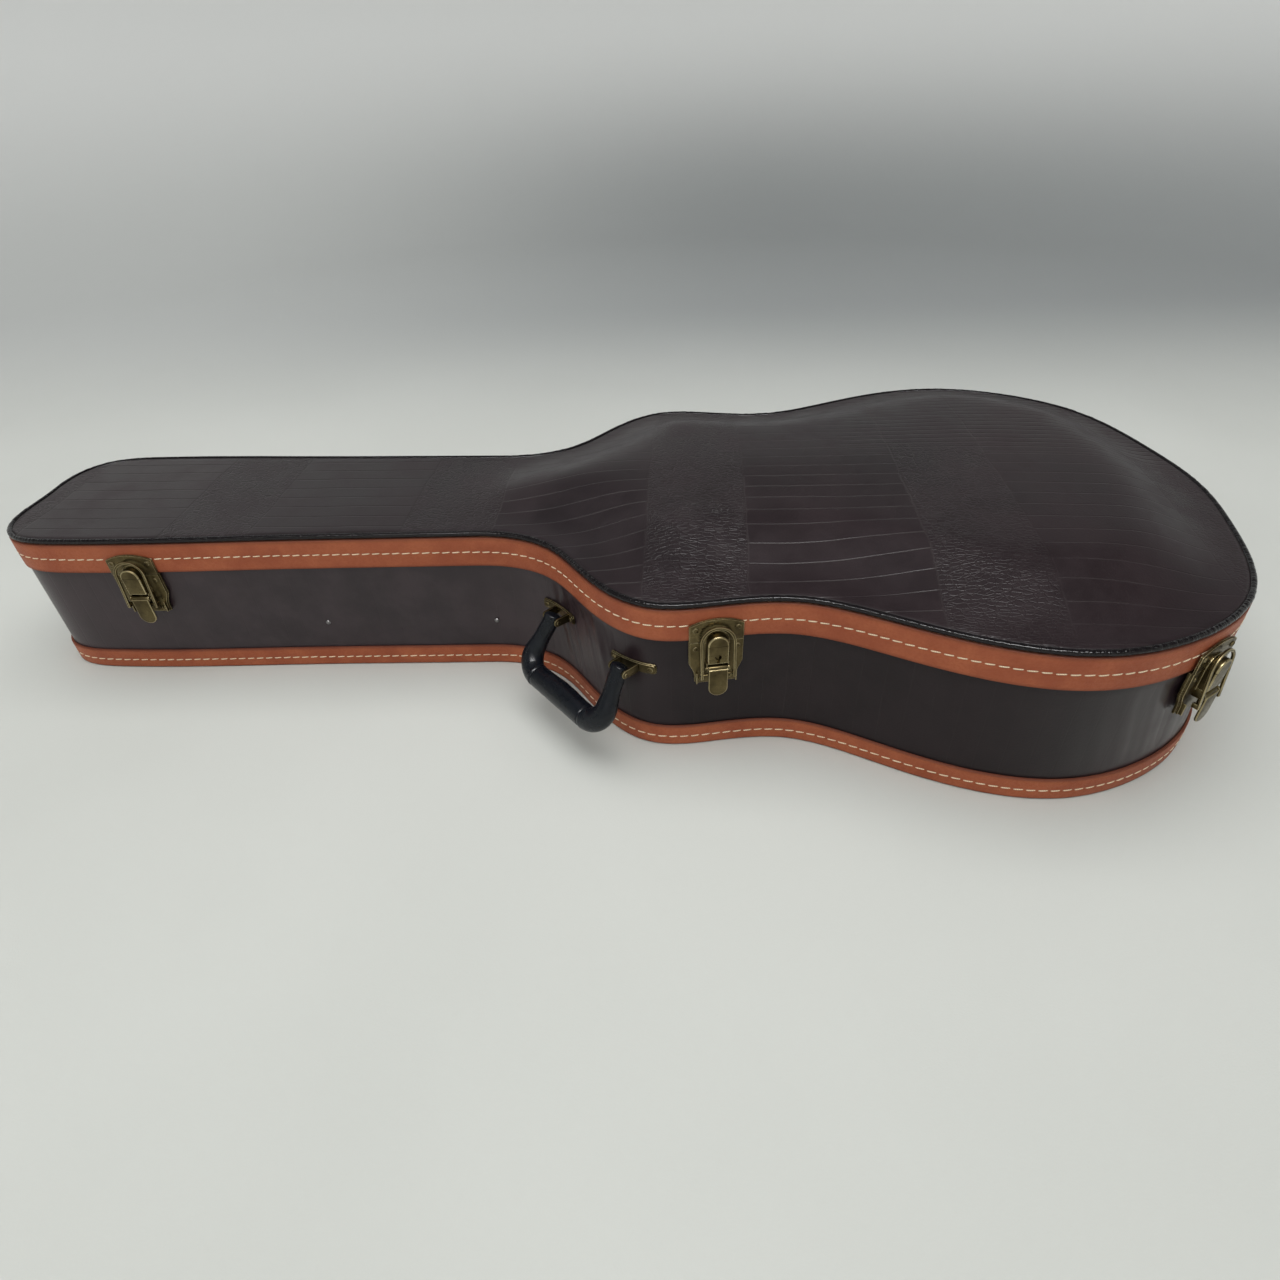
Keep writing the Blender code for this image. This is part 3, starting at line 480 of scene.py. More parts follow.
def linked(name, data):
    """A new object in the scene."""
    made = bpy.data.objects.new(name, data)
    bpy.context.scene.collection.objects.link(made)
    return made


def from_bmesh(bm, name):
    """The mesh of a bmesh, which is freed."""
    mesh = bpy.data.meshes.new(name)
    bm.to_mesh(mesh)
    bm.free()
    return mesh


def evaluated_mesh(made):
    """A new mesh of an object's shape with its modifiers applied."""
    bpy.context.view_layer.update()
    graph = bpy.context.evaluated_depsgraph_get()
    return bpy.data.meshes.new_from_object(made.evaluated_get(graph))


def piece(name, mesh, finish, body, *nodes, slot=None, matrix=None):
    """A finished piece that rides on a body and stands for its CAD nodes."""
    mesh.name = name
    made = linked(name, mesh)
    if matrix is not None:
        made.matrix_world = matrix
    for one in finish if isinstance(finish, (list, tuple)) else [finish]:
        mesh.materials.append(one)
    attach(made, body)
    if nodes:
        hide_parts(*nodes)
    return made


def closed_mesh(points, faces, name="closed"):
    """A mesh of points and faces, all of which are turned outwards."""
    mesh = bpy.data.meshes.new(name)
    mesh.from_pydata(points, [], faces)
    bm = bmesh.new()
    bm.from_mesh(mesh)
    bmesh.ops.recalc_face_normals(bm, faces=bm.faces)
    bm.to_mesh(mesh)
    bm.free()
    return mesh


def tube_faces(first, rings, sides):
    """Faces of a closed tube whose points, ring after ring, start at number first."""
    faces = []
    for i in range(rings - 1):
        for j in range(sides):
            a, b = first + i * sides + j, first + i * sides + (j + 1) % sides
            faces.append((a, b, b + sides, a + sides))
    last = first + (rings - 1) * sides
    faces.append(tuple(range(first, first + sides))[::-1])
    faces.append(tuple(range(last, last + sides)))
    return faces


def prism(near, far, name):
    """A closed solid between two outlines with as many points each."""
    count = len(near)
    faces = [tuple(range(count)), tuple(range(count, 2 * count))[::-1]]
    faces += [(i, (i + 1) % count, count + (i + 1) % count, count + i) for i in range(count)]
    return closed_mesh(near + far, faces, name)


def lattice(points, ring=True, section=True, caps=False):
    """A mesh over points[i][j]; ring joins the last i to the first, section the last j."""
    n, m = points.shape[:2]
    index = np.arange(n * m).reshape(n, m)
    rows = np.arange(n if ring else n - 1)
    columns = np.arange(m if section else m - 1)
    i, j = np.meshgrid(rows, columns, indexing="ij")
    i2, j2 = (i + 1) % n, (j + 1) % m
    faces = np.stack([index[i, j], index[i2, j], index[i2, j2], index[i, j2]], -1)
    faces = faces.reshape(-1, 4).tolist()
    if caps:
        faces += [index[0].tolist(), index[-1][::-1].tolist()]
    return closed_mesh(points.reshape(-1, 3).tolist(), faces)


def swept(profile, places, shift=None, grain=None, ring=True):
    """A cross-section of (offset, height) swept along the outline.

    shift(place, offset, height) moves the surface outwards. grain(place, offset, height) gives
    the material's coordinates."""
    profile = np.asarray(profile, float)
    base, outward = on_outline(places)
    offset = np.broadcast_to(profile[:, 0], (len(places), len(profile)))
    height = np.broadcast_to(profile[:, 1], offset.shape)
    along = np.broadcast_to(np.asarray(places)[:, None], offset.shape)
    moved = offset if shift is None else offset + shift(along, offset, height)
    plan = base[:, None, :] + outward[:, None, :] * moved[:, :, None]
    points = np.concatenate([plan, height[:, :, None]], axis=2)
    mesh = lattice(points, ring=ring, caps=not ring)
    if grain is not None:
        set_values(mesh, "grain", np.stack(grain(along, offset, height), -1))
    return mesh


def ease(t):
    """A smooth step from 0 to 1, which is flat outside them."""
    t = np.clip(t, 0.0, 1.0)
    return t * t * (3 - 2 * t)


def waves(values, wavelength, seed=0.0):
    """Smooth repeatable noise in one dimension, between about -1 and 1."""
    flat = np.asarray(values, float)
    shape = flat.shape
    unique, where = np.unique(np.round(flat.ravel() / wavelength, 4), return_inverse=True)
    made = np.array([noise.noise(Vector((v, seed, 0.37 * seed))) for v in unique])
    return made[where.ravel()].reshape(shape)


# ---------------------------------------------------------------- the domed lid
CELL = 0.004
GRID_HALF = (0.572, 0.272)
SHOULDER_RISE, CROWN_RISE = 0.021, 0.006
BLUR_REACH, BLUR_WIDTH = 8, 2.6


def lid_surface():
    """Heights of the lid's outer face on a grid: a flat border and neck, and a softened dome.
    The grid of distances in from the outline comes back with them."""
    xs, ys = (np.arange(-half, half + 0.0001, CELL) for half in GRID_HALF)
    tree = kdtree.KDTree(len(FINE))
    for i, (x, y) in enumerate(FINE):
        tree.insert((x, y, 0), i)
    tree.balance()
    half = len(FINE) // 2 + 1
    half_width = np.interp(xs, FINE[:half, 0], -FINE[:half, 1], left=0, right=0)
    inset = np.zeros((len(xs), len(ys)))
    for i, x in enumerate(xs):
        for j, y in enumerate(ys):
            if abs(y) < half_width[i]:
                inset[i, j] = tree.find((x, y, 0))[2]
    along = ease((xs - DOME_START) / DOME_RAMP)[:, None]
    rise = SHOULDER_RISE * ease((inset - 0.012) / 0.078) + CROWN_RISE * ease(inset / 0.2)
    heights = LID_EDGE_TOP + along * rise
    weights = np.exp(-0.5 * (np.arange(-BLUR_REACH, BLUR_REACH + 1) / BLUR_WIDTH) ** 2)
    weights /= weights.sum()

    def blurred(row):
        return np.convolve(np.pad(row, BLUR_REACH, mode="edge"), weights, "valid")

    for axis in (0, 1):
        heights = np.apply_along_axis(blurred, axis, heights)
    return xs, ys, heights, inset


LID_X, LID_Y, LID_HEIGHTS, LID_INSET = lid_surface()


def on_grid(values, x, y):
    """Bilinear lookup in one of the lid's grids."""
    u = np.clip((x - LID_X[0]) / CELL, 0, len(LID_X) - 1.001)
    v = np.clip((y - LID_Y[0]) / CELL, 0, len(LID_Y) - 1.001)
    i, j = u.astype(int), v.astype(int)
    a, b = u - i, v - j
    return ((1 - a) * (1 - b) * values[i, j] + a * (1 - b) * values[i + 1, j]
            + (1 - a) * b * values[i, j + 1] + a * b * values[i + 1, j + 1])


def sheet_over_plan(rims, spacing, margin):
    """A triangulated sheet inside the outline: its rim loops, then a regular grid that stays a
    margin inside the outline. Gives the points as (x, y), rims first, and the faces."""
    xs = np.arange(-0.56, 0.56, spacing)
    ys = np.arange(-0.26, 0.26, spacing * 0.866)
    grid = np.array([(x + (spacing / 2 if k % 2 else 0), y) for k, y in enumerate(ys) for x in xs])
    inside = on_grid(LID_INSET, grid[:, 0], grid[:, 1]) > margin
    points = np.vstack([*rims, grid[inside]])
    count = len(rims[0])
    edges = [(k * count + i, k * count + (i + 1) % count)
             for k in range(len(rims)) for i in range(count)]
    made = geometry.delaunay_2d_cdt([Vector(p) for p in points], edges, [], 0, 1e-6)
    placed = np.array([tuple(v) for v in made[0]])
    faces = np.array(made[2])
    return placed, faces[inside_loop(placed[faces].mean(axis=1), rims[0])]


def inside_loop(points, outline):
    """Which of the points lie inside a closed outline that is symmetric about y = 0."""
    low = outline[outline[:, 1] <= 0]
    low = low[np.argsort(low[:, 0])]
    half = np.interp(points[:, 0], low[:, 0], -low[:, 1], left=-1, right=-1)
    return np.abs(points[:, 1]) < half


def sheet_mesh(points, faces, heights):
    """The sheet as a mesh that faces up, without its unused points."""
    mesh = bpy.data.meshes.new("sheet")
    mesh.from_pydata(np.column_stack([points, heights]).tolist(), [], faces.tolist())
    bm = bmesh.new()
    bm.from_mesh(mesh)
    loose = [v for v in bm.verts if not v.link_faces]
    bmesh.ops.delete(bm, geom=loose, context="VERTS")
    if sum(face.normal.z for face in bm.faces) < 0:
        bmesh.ops.reverse_faces(bm, faces=bm.faces)
    bm.to_mesh(mesh)
    bm.free()
    return mesh


def coordinates(mesh):
    """The mesh's points as an array."""
    values = np.zeros(len(mesh.vertices) * 3)
    mesh.vertices.foreach_get("co", values)
    return values.reshape(-1, 3)


RIM_OFFSETS = (-0.0012, -0.0024, -0.0036, -0.0058)
RIM_DROPS = (0.0030, 0.0009, 0.0002, 0.0)


def build_lid_top():
    """The embossed vinyl over the dome, turned down under the piping at its rim."""
    points, faces = sheet_over_plan([loop(offset) for offset in RIM_OFFSETS], 0.0045, 0.0085)
    heights = on_grid(LID_HEIGHTS, points[:, 0], points[:, 1])
    heights += 0.00016 * np.array([noise.noise(Vector((x * 11, y * 11, 3.1))) for x, y in points])
    for k, drop in enumerate(RIM_DROPS):
        heights[k * LOOP_STEPS:(k + 1) * LOOP_STEPS] -= drop
    mesh = sheet_mesh(points, faces, heights)
    set_values(mesh, "grain", coordinates(mesh) * (1, 1, 0))
    mesh.shade_smooth()
    top = piece("lid_top_vinyl", mesh, VINYL, "lid", "lid_top_panel", slot="covered_panel")
    shell = top.modifiers.new("thickness", "SOLIDIFY")
    shell.thickness = 0.0016
    shell.offset = -1.0


# ---------------------------------------------------------------- walls, bands and piping
BASE_SEAM, LID_SEAM = 0.0098, 0.1255
HINGES = ("head", "upper", "lower")
FINE_PLACES = np.arange(0, PERIMETER - 0.001, 0.002)


def band_profile(low, high, seam):
    """A leather band: rounded edges, a slight crown and a shallow channel under the stitches.
    Each point's share of burnishing comes back with the profile."""
    radius = 0.0009
    heights = np.r_[np.linspace(low, low + radius, 5)[:-1],
                    np.linspace(low + radius, seam - 0.002, 6),
                    np.linspace(seam - 0.0013, seam + 0.0013, 7),
                    np.linspace(seam + 0.002, high - radius, 6),
                    np.linspace(high - radius, high, 5)[1:]]
    to_edge = np.minimum(heights - low, high - heights)
    edge = np.clip(to_edge / radius, 0, 1)
    out = BAND_OUT - radius * (1 - np.sqrt(1 - (1 - edge) ** 2))
    out += 0.00018 * np.sin(np.pi * (heights - low) / (high - low))
    out -= 0.00040 * np.exp(-((heights - seam) / 0.0008) ** 2)
    profile = [(GAP, low)] + list(zip(out, heights)) + [(GAP, high)]
    burnish = np.clip(1 - (to_edge - 0.0002) / 0.0016, 0, 1)
    return profile, np.r_[1, burnish, 1]


STITCH_PITCH, STITCH_LENGTH = 0.0090, 0.0079


def build_band(name, low, high, seam, body, node):
    """A leather band, which sways a little and is pulled in between the stitches."""
    profile, burnish = band_profile(low, high, seam)

    def shift(place, offset, height):
        sway = 0.00012 * waves(place, 0.031, seam * 90)
        sway = sway + 0.00006 * waves(place, 0.009, 5 + seam * 50)
        holes = np.cos(2 * np.pi * place / STITCH_PITCH) > 0.8
        pull = -0.00014 * np.exp(-((height - seam) / 0.0011) ** 2) * holes
        return np.where(offset > 0.001, sway + pull, 0.0)

    mesh = swept(profile, FINE_PLACES, shift, lambda s, o, z: (s, z, o))
    set_values(mesh, "edge", np.tile(burnish, len(FINE_PLACES)), "FLOAT")
    smooth(mesh, 50)
    return piece(name, mesh, LEATHER, body, node, slot="tan_leather")


def build_stitches(name, seam, body, covered):
    """One row of stitches, each a flattened thread that dips into the leather at both ends.
    None are made where a hinge covers the band."""
    pitch = PERIMETER / round(PERIMETER / STITCH_PITCH)
    rings, sides = 9, 8
    starts = np.arange(0, PERIMETER - 0.001, pitch)
    points, faces, grain = [], [], []
    centres, _ = on_outline(starts + STITCH_LENGTH / 2)
    t = np.linspace(-1, 1, rings)
    thick = np.sqrt(np.clip(1 - 0.93 * t ** 6, 0, 1))
    depth = BAND_OUT + 0.00005 - 0.00070 * np.abs(t) ** 4
    for k, start in enumerate(starts):
        x, y = centres[k]
        if any(low.x < x < high.x and low.y < y < high.y for low, high in covered):
            continue
        wobble = noise.noise(Vector((k * 1.37, 2.2, seam)))
        size = STITCH_LENGTH * (1 + 0.06 * noise.noise(Vector((k * 2.11, 7.7, seam))))
        base, outward = on_outline(start + STITCH_LENGTH / 2 + t * size / 2)
        faces += tube_faces(len(points), rings, sides)
        for i in range(rings):
            for j in range(sides):
                a = 2 * math.pi * j / sides
                out = depth[i] + 0.00046 * thick[i] * math.cos(a)
                rise = 0.00058 * thick[i] * math.sin(a) + t[i] * 0.00035 + wobble * 0.00025
                px, py = base[i] + outward[i] * out
                points.append((px, py, seam + rise))
                grain.append((start + t[i] * size / 2, a * 0.0005, 0))
    mesh = closed_mesh(points, faces)
    set_values(mesh, "grain", grain)
    mesh.shade_smooth()
    return piece(name, mesh, THREAD, body, slot="tan_leather")


def build_piping():
    """The rolled edge: a bead whose skin wrinkles where it goes round a bend."""
    sides, step = 18, 0.0012
    centre_z, centre_off = LID_BAND[1] + GAP + PIPING_R, -0.0004
    places = np.arange(0, PERIMETER - 0.0005, step)
    base, outward = on_outline(places)
    reach = 12  # steps on either side over which a bend is measured
    turn = np.roll(outward, -reach, 0) - np.roll(outward, reach, 0)
    turn = np.linalg.norm(turn, axis=1) / (2 * reach * step)
    bend = np.clip((turn - 1.2) / 5.0, 0.12, 1)
    angle = np.arange(sides) * 2 * np.pi / sides
    ripple = waves(places, 0.0042, 1.7) * 0.6 + waves(places, 0.0019, 4.1) * 0.4
    long_wave = waves(places, 0.03, 9.0)
    points = np.zeros((len(places), sides, 3))
    grain = np.zeros_like(points)
    for j, a in enumerate(angle):
        twist = waves(places + 0.0012 * math.sin(a), 0.0033, 6.5 + 0.8 * math.cos(a))
        radius = PIPING_R * (1 + 0.02 * long_wave + bend * (0.080 * ripple + 0.10 * twist))
        off = centre_off + radius * math.cos(a)
        points[:, j, :2] = base + outward * off[:, None]
        points[:, j, 2] = centre_z + radius * math.sin(a)
        grain[:, j, 0], grain[:, j, 1] = places, a * PIPING_R
    mesh = lattice(points)
    set_values(mesh, "grain", grain.reshape(-1, 3))
    mesh.shade_smooth()
    piece("lid_rolled_edge", mesh, PIPING, "lid", "lid_edge_piping", slot="piping")


FOLD_DEPTH = 0.00150
SHOULDER_X, TAIL_X = -0.005, 0.475
WALL_GRAIN_START = 0.51  # puts the whole height of the wall within one belly of the embossing


def build_base_walls():
    """The vinyl round the base: smooth on the neck, loosely folded at the shoulder and tail."""
    top = PARTING - GAP / 2
    heights = np.r_[0.001, 0.002, np.linspace(0.012, top - 0.0012, 16), top - 0.0005, top - 0.00012]
    outer = [(0.0 if z < top - 0.0008 else -0.00018, z) for z in heights[:-1]] + [(-0.0006, top)]
    profile = outer + [(-SKIN, top), (-SKIN, 0.001)]
    shoulder, tail = near_place(SHOULDER_X), near_place(TAIL_X)

    def shift(place, offset, height):
        near = np.exp(-((place - shoulder) / 0.048) ** 2)
        end = np.exp(-((place - tail) / 0.095) ** 2)
        lean = place + 0.22 * (height - 0.06)
        folds = np.abs(waves(lean, 0.017, 2.3)) * 1.5 + 0.5 * waves(lean, 0.0075, 8.8)
        soft = 0.5 + 0.5 * waves(place, 0.11, 4.4)
        crease = np.exp(-(waves(lean, 0.024, 5.9) / 0.10) ** 2)
        amount = FOLD_DEPTH * (near + end) + 0.00010 * soft
        fade = ease((height - 0.018) / 0.02) * ease((top - height) / 0.02)
        depth = amount * np.abs(folds) + (0.0011 * near + 0.0004 * end) * crease
        return np.where(offset > -0.0005, -depth * fade, 0.0)

    mesh = swept(profile, FINE_PLACES, shift, lambda s, o, z: (z - WALL_GRAIN_START, s, o))
    smooth(mesh, 50)
    piece("base_wall_vinyl", mesh, LIT_AND_SHADED_WALL_VINYL, "base", "base_covering", slot="vinyl")


def build_plywood():
    """The bent plywood of both walls, as two halves each, with its plies on the edges."""
    levels = {"base": (PANEL_THICK + GAP, PARTING - GAP / 2, -SKIN - GAP),
              "lid": (PARTING + GAP / 2, LID_EDGE_TOP - PLY - 0.0006, -SKIN)}
    for body, (low, high, outer) in levels.items():
        inner = outer - PLY
        soft = 0.0004
        profile = [(outer, low), (outer, high - soft), (outer - soft, high), (inner + soft, high),
                   (inner, high - soft), (inner, low)]
        for side, start in (("near", 0.0), ("far", PERIMETER / 2)):
            places = start + np.linspace(0.0002, PERIMETER / 2 - 0.0002, 420)
            mesh = swept(profile, places, None, lambda s, o, z: (s, o, z), ring=False)
            smooth(mesh, 30)
            node = f"{body}_side_{side}"
            piece(f"{body}_plywood_{side}", mesh, WOOD, body, node, slot="plywood")


def build_underside():
    """The base panel, with its vinyl turned up round a soft edge."""
    out = -SKIN - GAP
    radius = 0.0016
    turns = np.linspace(0, math.pi / 2, 5)
    levels = [(out, PANEL_THICK)]
    levels += [(out - radius + radius * math.cos(a), radius - radius * math.sin(a)) for a in turns]
    rings = np.array([np.column_stack([loop(o), np.full(LOOP_STEPS, z)]) for o, z in levels])
    mesh = lattice(rings, ring=False, caps=True)
    set_values(mesh, "grain", rings.reshape(-1, 3) * (1, 1, 0))
    smooth(mesh, 50)
    piece("base_underside_vinyl", mesh, VINYL, "base", "base_panel", slot="covered_panel")


build_lid_top()
build_band("lid_leather_band", *LID_BAND, LID_SEAM, "lid", "lid_trim_band")
build_band("base_leather_band", *BASE_BAND, BASE_SEAM, "base", "base_trim_band")
build_stitches("lid_stitches", LID_SEAM, "lid",
               [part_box(f"hinge_{name}_lid_leaf") for name in HINGES])
build_stitches("base_stitches", BASE_SEAM, "base", [])
build_piping()
build_base_walls()
build_plywood()
build_underside()


# ---------------------------------------------------------------- metalwork
PLANES = {
    "XZ": lambda a, b, depth: (a, depth, b),
    "YZ": lambda a, b, depth: (depth, a, b),
}
SHARP_CORNER = math.radians(25)


def circle(count):
    """The cosine and sine of evenly spaced angles round a full turn."""
    return [(math.cos(a), math.sin(a)) for a in (2 * math.pi * i / count for i in range(count))]


class Metalwork:
    """Bevelled solids gathered in one mesh; their rounded edges take the worn finish, lighter as
    wear and as a painted highlight.
    """

    def __init__(self):
        self.bm = bmesh.new()

    def soften(self, edges, bevel, segments):
        made = bmesh.ops.bevel(self.bm, geom=edges, offset=bevel, segments=segments,
                               affect="EDGES", profile=0.5, clamp_overlap=True)
        # Rounded edges take the worn brass: wear and a painted highlight.
        for face in made["faces"]:
            face.material_index = 1

    def solid(self, outline, front, back, plane="XZ", bevel=0.0003, crest=0.0, matrix=None,
              square=None):
        """An outline with thickness. Crest is a larger rounding of the rim on the front side.
        Edges at the height square stay sharp."""
        bm, at = self.bm, PLANES[plane]
        near = [bm.verts.new(at(a, b, front)) for a, b in outline]
        far = [bm.verts.new(at(a, b, back)) for a, b in outline]
        faces = [bm.faces.new(near), bm.faces.new(far[::-1])]
        for i in range(len(outline)):
            j = (i + 1) % len(outline)
            faces.append(bm.faces.new((near[j], near[i], far[i], far[j])))
        bmesh.ops.recalc_face_normals(bm, faces=faces)
        if matrix is not None:
            bmesh.ops.transform(bm, matrix=matrix, verts=near + far)

        def free(edge):
            return square is None or any(abs(vert.co.z - square) > 1e-5 for vert in edge.verts)

        rim = [edge for edge in faces[0].edges if free(edge)]
        sharp = {edge for face in faces for edge in face.edges
                 if edge.calc_face_angle(0.0) > SHARP_CORNER and free(edge)}
        if crest:
            self.soften(rim, crest, 4)
            sharp = {edge for edge in sharp if edge.is_valid and edge not in rim}
        self.soften(list(sharp), bevel, 2)

    def block(self, low, high, bevel=0.0003):
        (x0, y0, z0), (x1, y1, z1) = low, high
        self.solid([(x0, z0), (x1, z0), (x1, z1), (x0, z1)], y0, y1, bevel=bevel)

    def rod(self, radius, ends, bevel=0.0004, sides=28):
        """A round bar along X through the origin."""
        ring = [(radius * c, radius * s) for c, s in circle(sides)]
        self.solid(ring, *ends, "YZ", bevel)

    def head(self, radius, height, spot, sides=20, lip=0.25):
        """A domed rivet or screw head that faces -Y, on a thin lip."""
        x, y, z = spot
        levels = [(1.0, 0.0), (1.0, lip), (0.93, lip + 0.10)]
        levels += [(math.cos(a), lip + 0.05 + (1 - lip) * math.sin(a))
                   for a in np.linspace(0.45, 1.35, 5)]
        rings = [[self.bm.verts.new((x + radius * share * c, y - height * rise,
                                     z + radius * share * s)) for c, s in circle(sides)]
                 for share, rise in levels]
        for level, (below, above) in enumerate(zip(rings, rings[1:])):
            for i in range(sides):
                j = (i + 1) % sides
                face = self.bm.faces.new((below[i], below[j], above[j], above[i]))
                # The lip's edge and one ring of the dome take the worn brass: wear and a painted
                # highlight.
                face.material_index = int(level in (1, 3))
        self.bm.faces.new(rings[-1])
        self.bm.faces.new(rings[0][::-1])

    def finished(self, name, body, *nodes, matrix=None):
        """The finished piece, in brass with worn edges that are also painted lighter as highlights.
        """
        bmesh.ops.recalc_face_normals(self.bm, faces=self.bm.faces)
        mesh = from_bmesh(self.bm, name)
        smooth(mesh, 32)
        return piece(name, mesh, (BRASS, WORN_HIGHLIT_BRASS), body, *nodes, slot="brass", matrix=matrix)


def arc(centre, radius, start, end, steps):
    """Points along an arc, angles in degrees."""
    turns = [math.radians(start + (end - start) * i / steps) for i in range(steps + 1)]
    return [(centre[0] + radius * math.cos(a), centre[1] + radius * math.sin(a)) for a in turns]


def frame_on(joint, out=0.0, up=0.0):
    """A joint's frame: X against its axis, Z up and -Y away from the wall, moved out and up."""
    along = -Vector(JOINTS[joint]["axis"])
    back = Vector((0, 0, 1)).cross(along)
    place = Vector(JOINTS[joint]["pos_m"]) - back * out + Vector((0, 0, up))
    return Matrix.Translation(place) @ Matrix((along, back, (0, 0, 1))).transposed().to_4x4()


LATCH_HALF = 0.021
LATCH_GAP = 0.0003
LEVER_OUT, LEVER_DOWN = 0.0113, 0.0215
BAIL_DOWN = 0.0280
SIDES = (-1, 1)
KEEPER_RIVET, EAR_RIVET, FOOT_RIVET = (0.0023, 0.0013), (0.0021, 0.0012), (0.0019, 0.0011)


def arched(half, shoulder, rise, steps=24):
    """A plate's outline: straight sides and a top that arches up to the middle."""
    crest = [(half * (1 - 2 * i / steps), shoulder + rise * (1 - (1 - 2 * i / steps) ** 2))
             for i in range(steps + 1)]
    return [(-half, LATCH_GAP), (half, LATCH_GAP)] + crest


def tapered(grow):
    """The lower plate's outline, with its sides drawn in below the lever's pin."""
    half, waist, low = LATCH_HALF + grow, 0.0162 + grow, -0.0402 - grow
    right = [(waist, low), (waist + 0.0004, -0.0330), (waist + 0.0014, -0.0290),
             (half, -0.0215), (half, -LATCH_GAP)]
    return right + [(-x, z) for x, z in right[::-1]]


def half_round(half, rise):
    """A half-round outline that stands on the lid's edge."""
    return [(-half, LATCH_GAP), (half, LATCH_GAP)] + arc((0, rise), half, 0, 180, 24)[1:-1]


def build_keeper(name, site):
    """The lid's arched plate on a thin backing, with a half-round boss and two rivets."""
    metal = Metalwork()
    metal.solid(arched(LATCH_HALF + 0.0004, 0.0152, 0.0052), -0.0040, -0.0033, bevel=0.0002)
    metal.solid(arched(LATCH_HALF, 0.0150, 0.0050), -0.0052, -0.0042)
    metal.solid(half_round(0.0100, 0.0009), -0.0064, -0.0050, bevel=0.0004)
    metal.solid(half_round(0.0084, 0.0010), -0.0134, -0.0060, crest=0.0013, square=LATCH_GAP)
    for side in SIDES:
        metal.head(*KEEPER_RIVET, (side * 0.0165, -0.0052, 0.0118))
    metal.finished(f"latch_{name}_keeper_brass", "lid", f"latch_{name}_keeper", matrix=site)


def build_lock_plate(name, site):
    """The base's plate on its backing, with guide walls, the lever's ears and four rivets, and
    the housing on it."""
    metal = Metalwork()
    metal.solid(tapered(0.0005), -0.0030, -0.0010, bevel=0.0002)
    metal.solid(tapered(-0.0003), -0.0034, -0.0028, bevel=0.0001)
    metal.solid(tapered(0.0), -0.0050, -0.0036)
    metal.block((-0.0100, -0.0063, -0.0182), (0.0100, -0.0048, -LATCH_GAP), 0.0004)
    shape = [(-0.0045, -0.0245), (-0.0045, -0.0165), (-LEVER_OUT, -0.0165)]
    shape += arc((-LEVER_OUT, -LEVER_DOWN), 0.0030, 90, 270, 14)
    for side in SIDES:
        wall = sorted((side * 0.0152, side * 0.0163))
        metal.block((wall[0], -0.0078, -0.0394), (wall[1], -0.0048, -0.0290), 0.0004)
        ear = sorted((side * 0.0078, side * 0.0091))
        metal.solid(shape, *ear, "YZ")
        metal.head(*EAR_RIVET, (side * 0.0165, -0.0050, -0.0060))
        metal.head(*FOOT_RIVET, (side * 0.0124, -0.0050, -0.0362))
    metal.finished(f"latch_{name}_plate_brass", "base", f"latch_{name}_plate", matrix=site)

    housing = Metalwork()
    half, low, high = 0.0084, -0.0168, -LATCH_GAP
    housing.solid([(-half, low), (half, low), (half, high), (-half, high)], -0.0131, -0.0055,
                  crest=0.0011, square=high)
    made = housing.finished(f"latch_{name}_housing_brass", "base", matrix=site)
    if name == "waist":
        cut_keyhole(made, site)


def cut_keyhole(housing, site):
    """A keyhole cut into the housing: a round hole over a slot."""
    shape = arc((0, -0.0102), 0.0025, -64, 244, 20) + [(-0.0012, -0.0158), (0.0012, -0.0158)]
    cutter = Metalwork()
    cutter.solid(shape, -0.0140, -0.0095, bevel=0.00002)
    tool = linked("keyhole", from_bmesh(cutter.bm, "keyhole"))
    tool.matrix_world = site
    cut = housing.modifiers.new("keyhole", "BOOLEAN")
    cut.operation, cut.solver, cut.object = "DIFFERENCE", "EXACT", tool
    result = evaluated_mesh(housing)
    housing.modifiers.remove(cut)
    housing.data = result
    smooth(result, 32)
    bpy.data.objects.remove(tool)


def build_lever(name):
    """The thumb lever: a barrel, a block that carries the bail, and a rounded tab."""
    lever = Metalwork()
    end, half = -0.0474 + LEVER_DOWN, 0.0077
    tab = [(half, 0.0002), (-half, 0.0002)] + arc((0, end + half), half, 180, 360, 20)
    lever.solid(tab, -0.0034, -0.0016, crest=0.0008)
    lever.rod(0.0025, (-0.0075, 0.0075), 0.0003)
    foot = LEVER_DOWN - BAIL_DOWN - 0.0022
    lever.block((-0.0074, -0.0020, foot), (0.0074, 0.0020, 0.0), 0.0004)
    lever.finished(f"latch_{name}_lever_brass", f"latch_{name}_lever", f"latch_{name}_lever",
                   matrix=frame_on(f"latch_{name}_lever_pivot"))


BAIL_LEAN = math.radians(-5.5)


def build_bail(name):
    """The arched bail, with a foot on each leg that turns on a stub in the lever."""
    bail = Metalwork()
    outer, inner, foot, top = 0.0141, 0.0117, -0.0020, 0.0164 + BAIL_DOWN
    rim = [(outer, foot)] + arc((0, top - outer), outer, 0, 180, 30) + [(-outer, foot)]
    rim += [(-inner, foot)] + arc((0, top - outer), inner, 180, 0, 30) + [(inner, foot)]
    bail.solid(rim, -0.0036, -0.0014, bevel=0.0007, matrix=Matrix.Rotation(BAIL_LEAN, 4, "X"))
    for side in SIDES:
        low, high = sorted((side * inner, side * outer))
        bail.block((low + 0.00005, -0.0034, foot), (high - 0.00005, 0.0018, 0.0022), 0.0005)
        bail.rod(0.00115, sorted((side * 0.0040, side * (inner + 0.0008))), 0.0002, 16)
    bail.finished(f"latch_{name}_bail_brass", f"latch_{name}_bail", f"latch_{name}_bail",
                  matrix=frame_on(f"latch_{name}_bail_pivot"))


